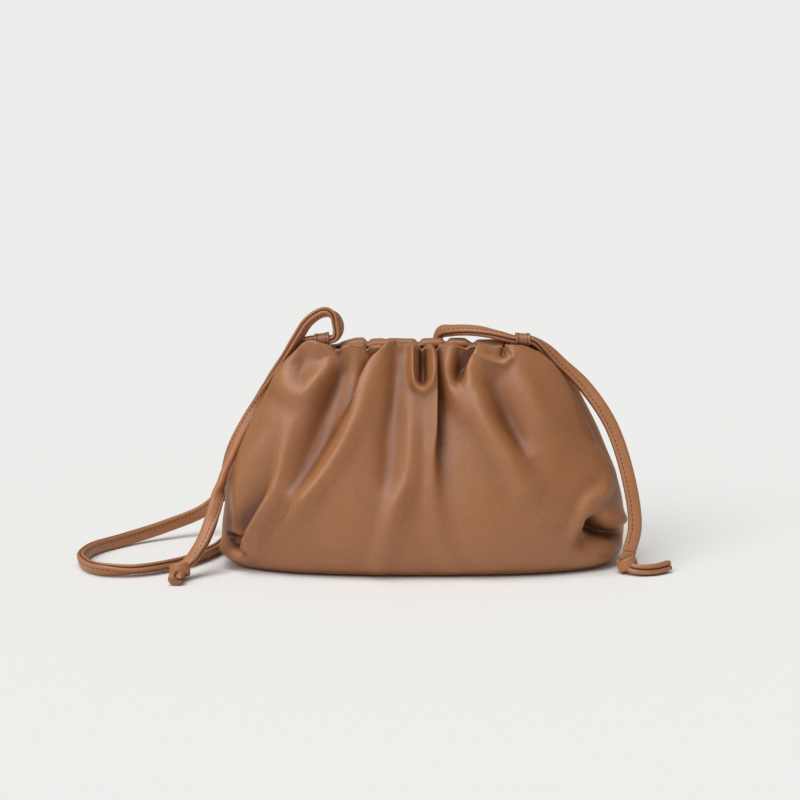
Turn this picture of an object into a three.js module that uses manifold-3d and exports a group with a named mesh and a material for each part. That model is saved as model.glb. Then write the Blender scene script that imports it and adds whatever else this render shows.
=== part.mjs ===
// Soft gathered pouch bag in tan leather, with a long narrow strap that is knotted at both ends.
// Millimetres, +Z up. The origin is the middle of the resting base and the front faces -Y.
import * as THREE from 'three';
import Module from 'manifold-3d';
import { mergeVertices } from 'three/addons/utils/BufferGeometryUtils.js';

// Driving dimensions
const BODY_WIDTH = 240;         // widest, low down
const BODY_DEPTH = 96;          // front to back, low down
const BODY_HEIGHT = 132;        // floor to the top of the mouth
const LEATHER_WALL = 2.0;       // leather and its facing together
const FOLD_DEPTH = 10;          // a fold's height of 1 in the table of folds
const FOLD_WIDTH = 10;          // a fold's width of 1 in the table of folds
const MOUTH_SLIT = 4.8;         // between the two bars of the mouth
const BAR_END_ROOM = 14.5;      // from each end of the mouth to the ends of its bars
const BAR_HEIGHT = 7.5;
const BAR_THICKNESS = 4.5;
const BAR_DROP = 3.8;           // top of a bar below the top of the mouth
const BAR_APPROACH = 9;         // the leather starts to keep clear of the bars this far below them
const GUSSET_DIP = 9;           // how far the mouth's edge dips between front and back at its ends
const GUSSET_DIP_WIDTH = 5.6;
const LEFT_GUSSET_SHIFT = 2;    // the left gusset is folded in this far behind the middle
const STRAP_DIAMETER = 6.4;     // the folded strap as a round cord
const KEEPER_LENGTH = 8.8;      // along the strap
const KEEPER_WALL = 1.3;
const KEEPER_LOOSENESS = 0.8;   // between the strap and its keeper, all round
const KEEPER_TAB_DEPTH = 8;     // tab of a keeper, below its loop
const KEEPER_TAB_LENGTH = 6.5;
const KEEPER_TAB_GRIP = 5;      // how far the tab reaches in between the bars
const KEEPER_OVERLAP = 2.8;     // how far the loop reaches over the bars' ends
const KNOT_LENGTH = 15;
const KNOT_WIDTH = 11.5;
const KNOT_HEIGHT = 10.5;
const KNOT_NECK_LENGTH = 7;     // strap between a knot's middle and the end of the strap's own piece
const CLEARANCE = 0.3;          // between pieces that touch

// How finely the body is divided
const FRONT_COLUMNS = 52;
const SIDE_COLUMNS = 10;
const BACK_COLUMNS = 32;
const CENTRE_CROWDING = 0.42;   // front columns stand closer together near the middle
const CORNER_ANGLE = THREE.MathUtils.degToRad(40);
const PATH_STEPS = 28;          // straight pieces of a fold's line
const NORMAL_STEP = 0.004;      // step in angle and height for the direction of the surface

// Sections of the body, from the base up: height, half width and shift sideways as shares of the
// body's height and half width, half depth as a share of its half depth, and how square the section is.
const SECTIONS = [
  { height: 0.000, width: 0.925, depth: 0.84, square: 2.7, shift: -0.020 },
  { height: 0.010, width: 0.960, depth: 0.90, square: 2.7, shift: -0.018 },
  { height: 0.035, width: 0.985, depth: 0.96, square: 2.7, shift: -0.016 },
  { height: 0.080, width: 1.000, depth: 1.00, square: 2.7, shift: -0.012 },
  { height: 0.150, width: 1.000, depth: 1.02, square: 2.7, shift: -0.006 },
  { height: 0.270, width: 0.988, depth: 1.00, square: 2.7, shift: -0.002 },
  { height: 0.380, width: 0.965, depth: 0.95, square: 2.7, shift: -0.002 },
  { height: 0.490, width: 0.920, depth: 0.86, square: 2.8, shift: -0.006 },
  { height: 0.600, width: 0.868, depth: 0.75, square: 2.9, shift: -0.010 },
  { height: 0.710, width: 0.812, depth: 0.63, square: 3.0, shift: -0.012 },
  { height: 0.820, width: 0.752, depth: 0.50, square: 3.1, shift: -0.012 },
  { height: 0.900, width: 0.700, depth: 0.375, square: 3.2, shift: -0.012 },
  { height: 0.960, width: 0.648, depth: 0.28, square: 3.3, shift: -0.012 },
  { height: 1.000, width: 0.600, depth: 0.235, square: 3.4, shift: -0.0125 },
];

// Heights of the rings of the outer and the inner surface, as shares of the body's height
const OUTER_RINGS = [
  0, 0.012, 0.035, 0.075, 0.12, 0.16, 0.2, 0.24, 0.29, 0.34, 0.4, 0.46,
  0.52, 0.58, 0.64, 0.7, 0.755, 0.805, 0.85, 0.89, 0.925, 0.955, 0.98, 1,
];
const INNER_RINGS = [1, 0.955, 0.89, 0.805, 0.7, 0.58, 0.46, 0.34, 0.24, 0.16, 0.12, 0.075, 0.04];

// Folds. A round fold is a ridge (height above 0) or a valley (below 0), a creased one has a sharp bottom,
// and an edge is a step that is high on the left of its line and low on the right. Each line runs through
// points of [across, up, height]: across is a share of the half width (of the half depth on the sides),
// up of the body's height, height of FOLD_DEPTH. left and right are widths beside the line, sharp is the
// width of a crease's bottom or of a step, all shares of FOLD_WIDTH.
const EDGE_RISE = 0.55;         // share of an edge's height that stands above the leather beside it
const EDGE_FALL = 1.5;          // how quickly an edge's two sides fall back to the leather
const FOLDS = [
  // hollow under the left end of the front, and the ridge round it
  { on: 'front', form: 'round', left: 0.6, right: 0.6, line: [[-0.60, 0.925, -0.28], [-0.52, 0.93, -0.28]] },
  { on: 'front', form: 'round', left: 0.6, right: 0.5,
    line: [[-0.70, 0.88, 0.1], [-0.67, 0.82, 0.24], [-0.59, 0.81, 0.26], [-0.51, 0.88, 0.26],
      [-0.45, 0.95, 0.2]] },
  // long valley from the notch at the left, and the pleat beside it
  { on: 'front', form: 'round', left: 0.9, right: 1.0,
    line: [[-0.43, 0.985, -0.5], [-0.42, 0.9, -0.55], [-0.47, 0.78, -0.62], [-0.54, 0.63, -0.55],
      [-0.60, 0.48, -0.35], [-0.64, 0.38, -0.08]] },
  { on: 'front', form: 'round', left: 0.5, right: 0.5,
    line: [[-0.33, 1, 0.2], [-0.36, 0.845, 0.2], [-0.42, 0.69, 0.1]] },
  // long slanting fold that overlaps the pleat
  { on: 'front', form: 'edge', left: 1.5, right: 0.8, sharp: 0.12,
    line: [[-0.19, 1, 0.65], [-0.254, 0.936, 0.85], [-0.326, 0.82, 0.85], [-0.38, 0.71, 0.75],
      [-0.454, 0.593, 0.6], [-0.55, 0.45, 0.45], [-0.638, 0.32, 0.1]] },
  { on: 'front', form: 'round', left: 0.6, right: 0.7,
    line: [[-0.135, 0.985, -0.3], [-0.13, 0.9, -0.35], [-0.15, 0.76, -0.3], [-0.18, 0.62, -0.2],
      [-0.19, 0.47, -0.3], [-0.2, 0.39, -0.08]] },
  { on: 'front', form: 'round', left: 0.7, right: 0.7,
    line: [[-0.085, 0.92, 0.12], [-0.077, 0.66, 0.25], [-0.09, 0.46, 0.28], [-0.164, 0.28, 0.25],
      [-0.227, 0.08, 0.2]] },
  // pleat in the middle, a ridge like a U round a narrow slot
  { on: 'front', form: 'round', left: 0.2, right: 0.2,
    line: [[-0.055, 1, 0.3], [-0.056, 0.866, 0.3], [-0.043, 0.815, 0.28], [-0.014, 0.798, 0.26],
      [0.014, 0.815, 0.28], [0.025, 0.866, 0.3], [0.031, 1, 0.3]] },
  { on: 'front', form: 'round', left: 0.24, right: 0.24,
    line: [[-0.012, 1, -0.5], [-0.012, 0.9, -0.4], [-0.015, 0.84, -0.2]] },
  // deep crease right of the middle, fading to the base
  { on: 'front', form: 'edge', left: 0.7, right: 1.0, sharp: 0.12,
    line: [[0.169, 0.02, 0.15], [0.104, 0.13, 0.2], [0.066, 0.32, 0.3], [0.055, 0.486, 0.5],
      [0.05, 0.64, 0.75], [0.05, 0.85, 0.8], [0.052, 1, 0.6]] },
  // ridges and valleys right of the crease
  { on: 'front', form: 'round', left: 0.5, right: 0.5,
    line: [[0.135, 1, 0.25], [0.111, 0.9, 0.34], [0.135, 0.82, 0.28], [0.18, 0.72, 0.1]] },
  { on: 'front', form: 'round', left: 0.36, right: 0.36,
    line: [[0.208, 0.98, -0.3], [0.18, 0.907, -0.36], [0.159, 0.854, -0.1]] },
  { on: 'front', form: 'edge', left: 0.8, right: 0.7, sharp: 0.1,
    line: [[0.262, 1, 0.6], [0.217, 0.92, 0.62], [0.191, 0.865, 0.2]] },
  { on: 'front', form: 'round', left: 0.7, right: 0.7,
    line: [[0.2, 0.87, 0.15], [0.256, 0.763, 0.3], [0.304, 0.662, 0.36], [0.401, 0.523, 0.36],
      [0.464, 0.408, 0.28]] },
  { on: 'front', form: 'round', left: 0.8, right: 0.8,
    line: [[0.333, 0.83, -0.3], [0.401, 0.688, -0.4], [0.464, 0.598, -0.3], [0.507, 0.523, -0.1]] },
  { on: 'front', form: 'round', left: 0.8, right: 0.8,
    line: [[0.43, 0.96, 0.15], [0.512, 0.833, 0.22], [0.594, 0.688, 0.24], [0.652, 0.598, 0.1]] },
  // small curl and slit below the right end of the mouth
  { on: 'front', form: 'round', left: 0.24, right: 0.24,
    line: [[0.256, 0.965, 0.1], [0.324, 0.935, 0.2], [0.382, 0.922, 0.22], [0.415, 0.955, 0.15]] },
  { on: 'front', form: 'creased', left: 0.16, right: 0.16, sharp: 0.05,
    line: [[0.386, 1, -0.35], [0.384, 0.955, -0.28], [0.38, 0.94, 0]] },
  // tuck at the lower right: slit, hollow below it, rim round it and nose above it
  { on: 'front', form: 'creased', left: 0.3, right: 0.4, sharp: 0.08,
    line: [[0.79, 0.265, -0.2], [0.826, 0.245, -0.75], [0.937, 0.212, -0.75], [1.02, 0.2, -0.5]] },
  { on: 'front', form: 'round', left: 0.9, right: 0.9, line: [[0.83, 0.215, -0.45], [0.79, 0.18, -0.35]] },
  { on: 'front', form: 'round', left: 0.45, right: 0.5,
    line: [[0.894, 0.404, 0.1], [0.855, 0.355, 0.22], [0.792, 0.326, 0.26], [0.754, 0.26, 0.28],
      [0.72, 0.175, 0.14]] },
  { on: 'front', form: 'round', left: 0.4, right: 0.35, line: [[0.9, 0.262, 0.15], [1, 0.235, 0.3]] },
  // hollow of the left gusset behind its sharp front edge, slit at its foot and lip below the slit
  { on: 'front', form: 'edge', left: 0.6, right: 1.6, sharp: 0.12,
    line: [[-0.705, 0.63, 0.05], [-0.72, 0.503, 0.4], [-0.749, 0.387, 0.75], [-0.814, 0.283, 1],
      [-0.884, 0.175, 0.9], [-0.91, 0.16, 0.2]] },
  { on: 'front', form: 'creased', left: 0.2, right: 0.18, sharp: 0.06,
    line: [[-1, 0.205, -0.3], [-0.952, 0.194, -0.5], [-0.885, 0.178, -0.5], [-0.86, 0.19, 0]] },
  { on: 'front', form: 'round', left: 0.4, right: 0.3,
    line: [[-1, 0.16, 0.2], [-0.93, 0.148, 0.26], [-0.87, 0.15, 0.2], [-0.83, 0.2, 0.1]] },
  // slack belly low on the front
  { on: 'front', form: 'round', left: 2.6, right: 2.2, line: [[-0.4, 0.22, 0.2], [0.4, 0.24, 0.3]] },
  // gussets folded in between front and back
  { on: 'left', form: 'round', left: 0.66, right: 0.66,
    line: [[0.042, 1, -1], [0.05, 0.82, -1.05], [0.07, 0.6, -0.95], [0.1, 0.4, -0.6], [0.1, 0.22, -0.2]] },
  { on: 'right', form: 'round', left: 0.62, right: 0.62,
    line: [[0, 1, -1], [0, 0.82, -0.85], [-0.02, 0.6, -0.6], [-0.04, 0.4, -0.35], [0, 0.22, -0.1]] },
  // gathers of the back
  { on: 'back', form: 'round', left: 0.8, right: 0.8,
    line: [[-0.44, 1, -0.35], [-0.52, 0.75, -0.5], [-0.6, 0.5, -0.2]] },
  { on: 'back', form: 'round', left: 0.6, right: 0.6,
    line: [[-0.32, 1, 0.2], [-0.38, 0.72, 0.3], [-0.46, 0.45, 0.1]] },
  { on: 'back', form: 'edge', left: 0.8, right: 1.3, sharp: 0.14,
    line: [[-0.2, 1, -0.55], [-0.24, 0.8, -0.7], [-0.31, 0.55, -0.4], [-0.36, 0.35, -0.1]] },
  { on: 'back', form: 'round', left: 0.6, right: 0.6,
    line: [[-0.09, 1, -0.3], [-0.1, 0.8, -0.4], [-0.12, 0.45, -0.15]] },
  { on: 'back', form: 'round', left: 0.5, right: 0.5,
    line: [[0.18, 1, 0.2], [0.19, 0.78, 0.3], [0.22, 0.5, 0.1]] },
  { on: 'back', form: 'round', left: 0.7, right: 0.7,
    line: [[0.27, 1, -0.4], [0.33, 0.75, -0.5], [0.41, 0.45, -0.15]] },
  { on: 'back', form: 'edge', left: 1.2, right: 0.8, sharp: 0.14,
    line: [[0.41, 1, 0.5], [0.48, 0.8, 0.6], [0.56, 0.58, 0.3], [0.62, 0.4, 0.1]] },
  { on: 'back', form: 'round', left: 2.6, right: 2.2, line: [[-0.45, 0.24, 0.25], [0.45, 0.22, 0.2]] },
];

// Smooth curve through the rows of a table, without overshoot
function tableValue(at, places, values) {
  const last = places.length - 1;
  let row = 0;
  while (row < last - 1 && at > places[row + 1]) row += 1;
  const slope = (k) => (values[k + 1] - values[k]) / (places[k + 1] - places[k]);
  const tangent = (k) => {
    if (k === 0) return slope(0);
    if (k === last) return slope(last - 1);
    const before = slope(k - 1);
    const after = slope(k);
    return before * after > 0 ? (2 * before * after) / (before + after) : 0;
  };
  const span = places[row + 1] - places[row];
  const t = THREE.MathUtils.clamp((at - places[row]) / span, 0, 1);
  return (1 + 2 * t) * (1 - t) ** 2 * values[row] + t * (1 - t) ** 2 * span * tangent(row)
    + t * t * (3 - 2 * t) * values[row + 1] + t * t * (t - 1) * span * tangent(row + 1);
}

const SECTION_HEIGHTS = SECTIONS.map((section) => section.height);

function sectionSize(column, height) {
  return tableValue(height, SECTION_HEIGHTS, SECTIONS.map((section) => section[column]));
}

// Point of the body without folds, at an angle round the section and a share of the height
function formPoint(angle, height) {
  const square = sectionSize('square', height);
  const cos = Math.cos(angle);
  const sin = Math.sin(angle);
  const reach = (Math.abs(cos) ** square + Math.abs(sin) ** square) ** (-1 / square);
  return new THREE.Vector3(
    (sectionSize('width', height) * cos * reach + sectionSize('shift', height)) * BODY_WIDTH / 2,
    sectionSize('depth', height) * sin * reach * BODY_DEPTH / 2,
    height * BODY_HEIGHT,
  );
}

function formNormal(angle, height) {
  const low = Math.max(height - NORMAL_STEP, 0);
  const high = Math.min(height + NORMAL_STEP, 1);
  const round = formPoint(angle + NORMAL_STEP, height).sub(formPoint(angle - NORMAL_STEP, height));
  const up = formPoint(angle, high).sub(formPoint(angle, low));
  return round.cross(up).normalize();
}

// A fold's line in millimetres on its face, as short straight pieces
function foldLine(fold) {
  const across = (fold.on === 'front' || fold.on === 'back' ? BODY_WIDTH : BODY_DEPTH) / 2;
  const toPoint = ([x, up, height]) => new THREE.Vector3(x * across, up * BODY_HEIGHT, height * FOLD_DEPTH);
  const points = fold.line.map(toPoint);
  return new THREE.CatmullRomCurve3(points, false, 'centripetal').getPoints(PATH_STEPS);
}
const FOLD_LINES = FOLDS.map(foldLine);

// Height of one fold at a place of its face
function foldHeight(fold, line, across, up) {
  let nearest = Infinity;
  let side = 1;
  let height = 0;
  for (let k = 0; k + 1 < line.length; k += 1) {
    const runX = line[k + 1].x - line[k].x;
    const runY = line[k + 1].y - line[k].y;
    const toX = across - line[k].x;
    const toY = up - line[k].y;
    const share = THREE.MathUtils.clamp((toX * runX + toY * runY) / (runX * runX + runY * runY), 0, 1);
    const distance = Math.hypot(toX - share * runX, toY - share * runY);
    if (distance < nearest) {
      nearest = distance;
      side = Math.sign(runX * toY - runY * toX) || 1;
      height = THREE.MathUtils.lerp(line[k].z, line[k + 1].z, share);
    }
  }
  const left = fold.left * FOLD_WIDTH;
  const right = fold.right * FOLD_WIDTH;
  const width = side > 0 ? left : right;
  if (fold.form === 'round') return height * Math.exp(-((nearest / width) ** 2));
  const sharp = fold.sharp * FOLD_WIDTH;
  if (fold.form === 'creased') return height * Math.exp(-(Math.hypot(nearest, sharp) - sharp) / width);
  const high = 0.5 + 0.5 * Math.tanh((side * nearest) / sharp);
  return height * (EDGE_RISE * high * Math.exp(-((nearest / left) ** EDGE_FALL))
    - (1 - EDGE_RISE) * (1 - high) * Math.exp(-((nearest / right) ** EDGE_FALL)));
}

function foldedHeight(face, across, up) {
  let sum = 0;
  FOLDS.forEach((fold, k) => {
    if (fold.on === face) sum += foldHeight(fold, FOLD_LINES[k], across, up);
  });
  return sum;
}

// Where the mouth's bars stand
const MOUTH_WIDTH = sectionSize('width', 1) * BODY_WIDTH;
const BAR_LENGTH = MOUTH_WIDTH - 2 * BAR_END_ROOM;
const BAR_MIDDLE = sectionSize('shift', 1) * BODY_WIDTH / 2;
const BAR_TOP = BODY_HEIGHT - BAR_DROP;
const BAR_BOTTOM = BAR_TOP - BAR_HEIGHT;
const BAR_OUTER_FACE = MOUTH_SLIT / 2 + BAR_THICKNESS;

// Shares of the height from where the folds stand level, from where the mouth's ends dip, and up to
// where the folds fade out towards the base
const UPRIGHT_FROM = 0.75;
const DIP_FROM = 0.82;
const BASE_FADE = 0.04;

// The folds of the front and back count where the surface faces that way, and the tucks of the gussets
// count towards the ends, from and up to these shares
const FACING = { from: -0.05, to: 0.4 };
const ENDS = { from: 0.36, to: 0.58 };

// Point of the leather's outer surface (depth 0) or inner surface (depth the wall)
function leatherPoint(angle, height, depth) {
  const point = formPoint(angle, height);
  const normal = formNormal(angle, height);
  normal.z *= 1 - THREE.MathUtils.smoothstep(height, UPRIGHT_FROM, 1);
  normal.normalize();
  const fade = THREE.MathUtils.smoothstep(height, 0, BASE_FADE);
  const facing = THREE.MathUtils.smoothstep(Math.abs(normal.y), FACING.from, FACING.to);
  const face = normal.y < 0 ? 'front' : 'back';
  const relief = foldedHeight(face, point.x, point.z) * facing * fade;
  const tuck = foldedHeight(point.x < 0 ? 'left' : 'right', point.y, point.z) * fade;
  point.addScaledVector(normal, relief - depth);
  const reach = THREE.MathUtils.smoothstep(Math.abs(point.x) / (BODY_WIDTH / 2), ENDS.from, ENDS.to);
  point.x += Math.sign(point.x) * tuck * reach;
  const middle = point.x < 0 ? LEFT_GUSSET_SHIFT : 0;
  const dip = GUSSET_DIP * Math.exp(-(((point.y - middle) / GUSSET_DIP_WIDTH) ** 2));
  point.z -= dip * reach * THREE.MathUtils.smoothstep(height, DIP_FROM, 1);
  const least = BAR_OUTER_FACE + CLEARANCE + LEATHER_WALL - depth;
  const besideBars = Math.abs(point.x - BAR_MIDDLE) < BAR_LENGTH / 2 + LEATHER_WALL;
  if (point.z > BAR_BOTTOM - BAR_APPROACH && besideBars && Math.abs(point.y) < least) {
    point.y = Math.sign(normal.y) * least;
  }
  if (depth > 0 && height * BODY_HEIGHT <= LEATHER_WALL) point.z = LEATHER_WALL;   // flat floor inside
  return point;
}

// Angles round a section, in even steps along each face
function columnAngles() {
  const spread = 1 / Math.tan(CORNER_ANGLE);
  const rise = Math.tan(CORNER_ANGLE);
  const angles = [];
  for (let k = 0; k < FRONT_COLUMNS; k += 1) {
    const s = (2 * k) / FRONT_COLUMNS - 1;
    angles.push(Math.atan2(-1, spread * s * (1 - CENTRE_CROWDING + CENTRE_CROWDING * s * s)));
  }
  for (let k = 0; k < SIDE_COLUMNS; k += 1) {
    angles.push(Math.atan(rise * ((2 * k) / SIDE_COLUMNS - 1)));
  }
  for (let k = 0; k < BACK_COLUMNS; k += 1) {
    angles.push(Math.atan2(1, spread * (1 - (2 * k) / BACK_COLUMNS)));
  }
  for (let k = 0; k < SIDE_COLUMNS; k += 1) {
    angles.push(Math.PI - Math.atan(rise * (1 - (2 * k) / SIDE_COLUMNS)));
  }
  return angles;
}

// One closed surface through a stack of rings, with a middle point closing each end
function loftRings(rings, firstMiddle, lastMiddle) {
  const count = rings[0].length;
  const points = [...rings.flat(), firstMiddle, lastMiddle];
  const first = points.length - 2;
  const last = points.length - 1;
  const faces = [];
  for (let c = 0; c < count; c += 1) {
    const d = (c + 1) % count;
    faces.push(first, d, c);
    for (let r = 0; r + 1 < rings.length; r += 1) {
      faces.push(r * count + c, r * count + d, (r + 1) * count + d);
      faces.push(r * count + c, (r + 1) * count + d, (r + 1) * count + c);
    }
    faces.push((rings.length - 1) * count + c, (rings.length - 1) * count + d, last);
  }
  const geometry = new THREE.BufferGeometry().setFromPoints(points);
  geometry.setIndex(faces);
  geometry.computeVertexNormals();
  return geometry;
}

function pouchBody() {
  const angles = columnAngles();
  const ring = (height, depth) => angles.map((angle) => leatherPoint(angle, height, depth));
  const rings = [
    ...OUTER_RINGS.map((height) => ring(height, 0)),
    ...[...INNER_RINGS, LEATHER_WALL / BODY_HEIGHT].map((height) => ring(height, LEATHER_WALL)),
  ];
  const shift = sectionSize('shift', 0) * BODY_WIDTH / 2;
  return loftRings(rings, new THREE.Vector3(shift, 0, 0), new THREE.Vector3(shift, 0, LEATHER_WALL));
}

// A bar of the mouth: flat, with round ends, covered in leather
const BAR_END_SEGMENTS = 6;

function mouthBar() {
  const radius = BAR_HEIGHT / 2;
  const half = BAR_LENGTH / 2 - radius;
  const outline = new THREE.Shape();
  outline.absarc(half, 0, radius, -Math.PI / 2, Math.PI / 2, false);
  outline.absarc(-half, 0, radius, Math.PI / 2, (3 * Math.PI) / 2, false);
  const bar = new THREE.ExtrudeGeometry(outline,
    { depth: BAR_THICKNESS, bevelEnabled: false, curveSegments: BAR_END_SEGMENTS });
  return bar.translate(0, 0, -BAR_THICKNESS / 2).rotateX(Math.PI / 2);
}

// Solids for joining
const wasm = await Module();
wasm.setup();
const MERGE_DISTANCE = 1e-4;

function toSolid(geometry) {
  const plain = geometry.clone();
  plain.deleteAttribute('normal');
  plain.deleteAttribute('uv');
  const merged = mergeVertices(plain, MERGE_DISTANCE);
  const vertProperties = Float32Array.from(merged.attributes.position.array);
  const triVerts = Uint32Array.from(merged.index.array);
  return new wasm.Manifold(new wasm.Mesh({ numProp: 3, vertProperties, triVerts }));
}

function fromSolid(solid) {
  const mesh = solid.getMesh();
  const geometry = new THREE.BufferGeometry();
  geometry.setAttribute('position', new THREE.BufferAttribute(mesh.vertProperties, 3));
  geometry.setIndex(new THREE.BufferAttribute(mesh.triVerts, 1));
  geometry.computeVertexNormals();
  return geometry;
}

// A keeper: a loop of leather round the strap, with a tab that goes down between the bars.
// inward is the direction of the mouth's middle along X.
const KEEPER_BORE = STRAP_DIAMETER / 2 + KEEPER_LOOSENESS;
const KEEPER_RADIUS = KEEPER_BORE + KEEPER_WALL;
const KEEPER_TAB_WIDTH = MOUTH_SLIT - 2 * CLEARANCE;
const KEEPER_SEGMENTS = 12;

function keeper(inward) {
  const round = new THREE.Shape();
  round.absarc(0, 0, KEEPER_RADIUS, 0, 2 * Math.PI, false);
  const bore = new THREE.Path();
  bore.absarc(0, 0, KEEPER_BORE, 0, 2 * Math.PI, true);
  round.holes.push(bore);
  const loop = new THREE.ExtrudeGeometry(round,
    { depth: KEEPER_LENGTH, bevelEnabled: false, curveSegments: KEEPER_SEGMENTS });
  loop.translate(0, 0, -KEEPER_LENGTH / 2).rotateX(Math.PI / 2).rotateZ(Math.PI / 2);
  const tabTop = -KEEPER_BORE - KEEPER_WALL / 2;
  const tabBottom = -KEEPER_RADIUS - KEEPER_TAB_DEPTH;
  const tab = new THREE.BoxGeometry(KEEPER_TAB_LENGTH, KEEPER_TAB_WIDTH, tabTop - tabBottom);
  const tabEnd = KEEPER_LENGTH / 2 - KEEPER_OVERLAP + KEEPER_TAB_GRIP;
  tab.translate(inward * (tabEnd - KEEPER_TAB_LENGTH / 2), 0, (tabTop + tabBottom) / 2);
  return fromSolid(toSolid(loop).add(toSolid(tab)));
}

// The strap's line from the left knot to the right knot, a list of places chosen by hand
const STRAP_ROUTE = [
  [-134.8, -42.5, 11.5], [-128.9, -35.5, 20.5], [-123.4, -25.0, 35.0], [-120.0, -13.0, 49.0],
  [-111.2, -1.0, 72.0], [-95.2, 3.0, 99.0], [-84.6, 2.0, 115.5], [-74.6, -0.6, 133.8],
  [-67.5, -1.8, 144.3], [-59.0, -1.0, 149.2], [-53.4, -0.3, 147.3], [-50.7, 0.0, 142.0],
  [-50.8, 0.0, 137.2], [-53.0, 0.0, 133.7], [-56.8, 0.0, 133.0], [-65.5, 0.2, 132.9],
  [-71.0, 4.0, 131.5], [-78.0, 12.5, 125.5], [-88.5, 20.5, 109.0], [-98.5, 29.0, 89.0],
  [-110.0, 44.0, 60.0], [-122.0, 58.0, 31.0], [-136.0, 61.5, 16.5], [-160.0, 50.5, 8.2],
  [-183.0, 33.0, 4.2], [-200.0, 8.0, 4.1], [-202.0, -18.5, 4.1], [-189.5, -38.5, 4.1],
  [-168.0, -39.5, 4.1], [-144.4, -23.2, 4.1], [-127.0, 5.0, 4.1], [-117.0, 36.0, 4.1],
  [-94.0, 56.0, 4.1], [-40.0, 57.5, 4.1], [-8.0, 57.0, 7.0], [8.0, 55.2, 24.0],
  [10.5, 52.0, 50.0], [9.0, 41.5, 80.0], [8.0, 25.0, 115.0], [9.0, 16.0, 134.4],
  [16.0, 9.0, 137.2], [30.0, 3.5, 137.9], [44.0, 0.5, 135.4], [53.5, 0.0, 133.0],
  [62.0, 0.0, 132.9], [70.2, 1.0, 128.2], [80.5, 0.5, 118.6], [93.8, -3.5, 106.4],
  [109.0, -12.5, 84.5], [119.0, -23.5, 54.0], [122.5, -29.5, 27.0], [119.2, -32.0, 13.0],
];

// The line is divided by its places, not by its length, so that a tight turn has steps enough
class StrapCurve extends THREE.CatmullRomCurve3 {
  getUtoTmapping(u) {
    return u;
  }
}

const STRAP_SIDES = 8;
const STRAP_STEPS = 80;

const strapSection = new THREE.Shape(Array.from({ length: STRAP_SIDES }, (_, k) => {
  const angle = (2 * Math.PI * k) / STRAP_SIDES;
  return new THREE.Vector2(Math.cos(angle) * STRAP_DIAMETER / 2, Math.sin(angle) * STRAP_DIAMETER / 2);
}));

const toPlaces = (list) => list.map((place) => new THREE.Vector3(...place));
const strapLine = new StrapCurve(toPlaces(STRAP_ROUTE), false, 'centripetal');

function shoulderStrap() {
  return new THREE.ExtrudeGeometry(strapSection, { steps: STRAP_STEPS, extrudePath: strapLine });
}

// A knot pulled tight, a round lump with the turns of the strap round it, and the cut end that leaves it.
// The tail's places are measured from the knot's middle.
const KNOT_TURNS = 3;
const KNOT_GROOVE = 0.06;       // share of the knot's size
const KNOT_SIDES = 20;
const KNOT_RINGS = 12;
const TAIL_STEPS = 5;

function knot(place, tail, strapEnd, strapDirection) {
  const lump = new THREE.SphereGeometry(0.5, KNOT_SIDES, KNOT_RINGS);
  const places = lump.attributes.position;
  for (let k = 0; k < places.count; k += 1) {
    const turn = Math.atan2(places.getZ(k), places.getX(k));
    const out = 2 * Math.hypot(places.getX(k), places.getZ(k));
    const groove = 1 + KNOT_GROOVE * Math.cos(KNOT_TURNS * turn) * out;
    places.setXYZ(k, places.getX(k) * groove * KNOT_LENGTH, places.getY(k) * groove * KNOT_WIDTH,
      places.getZ(k) * groove * KNOT_HEIGHT);
  }
  // the neck meets the strap's end face to face
  const middle = new THREE.Vector3(...place);
  const neckEnd = strapEnd.clone().sub(middle).addScaledVector(strapDirection, -CLEARANCE);
  const neckStart = neckEnd.clone().addScaledVector(strapDirection, -KNOT_NECK_LENGTH);
  const neckLine = new THREE.LineCurve3(neckStart, neckEnd);
  const neck = new THREE.ExtrudeGeometry(strapSection, { steps: 1, extrudePath: neckLine });
  const line = new THREE.CatmullRomCurve3(toPlaces(tail), false, 'centripetal');
  const end = new THREE.ExtrudeGeometry(strapSection, { steps: TAIL_STEPS, extrudePath: line });
  return fromSolid(toSolid(lump).add(toSolid(end)).add(toSolid(neck)));
}

// Places of the keepers and knots
const KEEPER_RISE = 1.0;        // middle of a keeper's loop above the top of the mouth
const KEEPER_HEIGHT = BODY_HEIGHT + KEEPER_RISE;
const KEEPER_OUT = BAR_LENGTH / 2 + KEEPER_LENGTH / 2 - KEEPER_OVERLAP;   // from the middle of the bars
const KNOT_REST = KNOT_HEIGHT / 2 * (1 + KNOT_GROOVE);
const LEFT_KNOT_PLACE = [-141.5, -47.0, KNOT_REST];
const RIGHT_KNOT_PLACE = [118.0, -32.5, KNOT_REST];
const LEFT_TAIL = [[0, 0, -0.5], [-1, -7, -1.4], [-1, -15, -1.9]];
const RIGHT_TAIL = [[0, 0, -1], [11, -5, -1.9], [18, -2, -1.9], [24.5, 4, -1.9]];

const BODY_LEATHER = { color: 0xa56e46, roughness: 0.45, metalness: 0 };
const BAR_LEATHER = { color: 0x9a6540, roughness: 0.5, metalness: 0 };
const KEEPER_LEATHER = { color: 0xa36b43, roughness: 0.5, metalness: 0 };
const STRAP_LEATHER = { color: 0x9c653d, roughness: 0.5, metalness: 0 };

const bag = new THREE.Group();

function addPiece(name, geometry, leather, place = [0, 0, 0]) {
  const mesh = new THREE.Mesh(geometry, new THREE.MeshStandardMaterial(leather));
  mesh.name = name;
  mesh.position.set(...place);
  bag.add(mesh);
}

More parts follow.
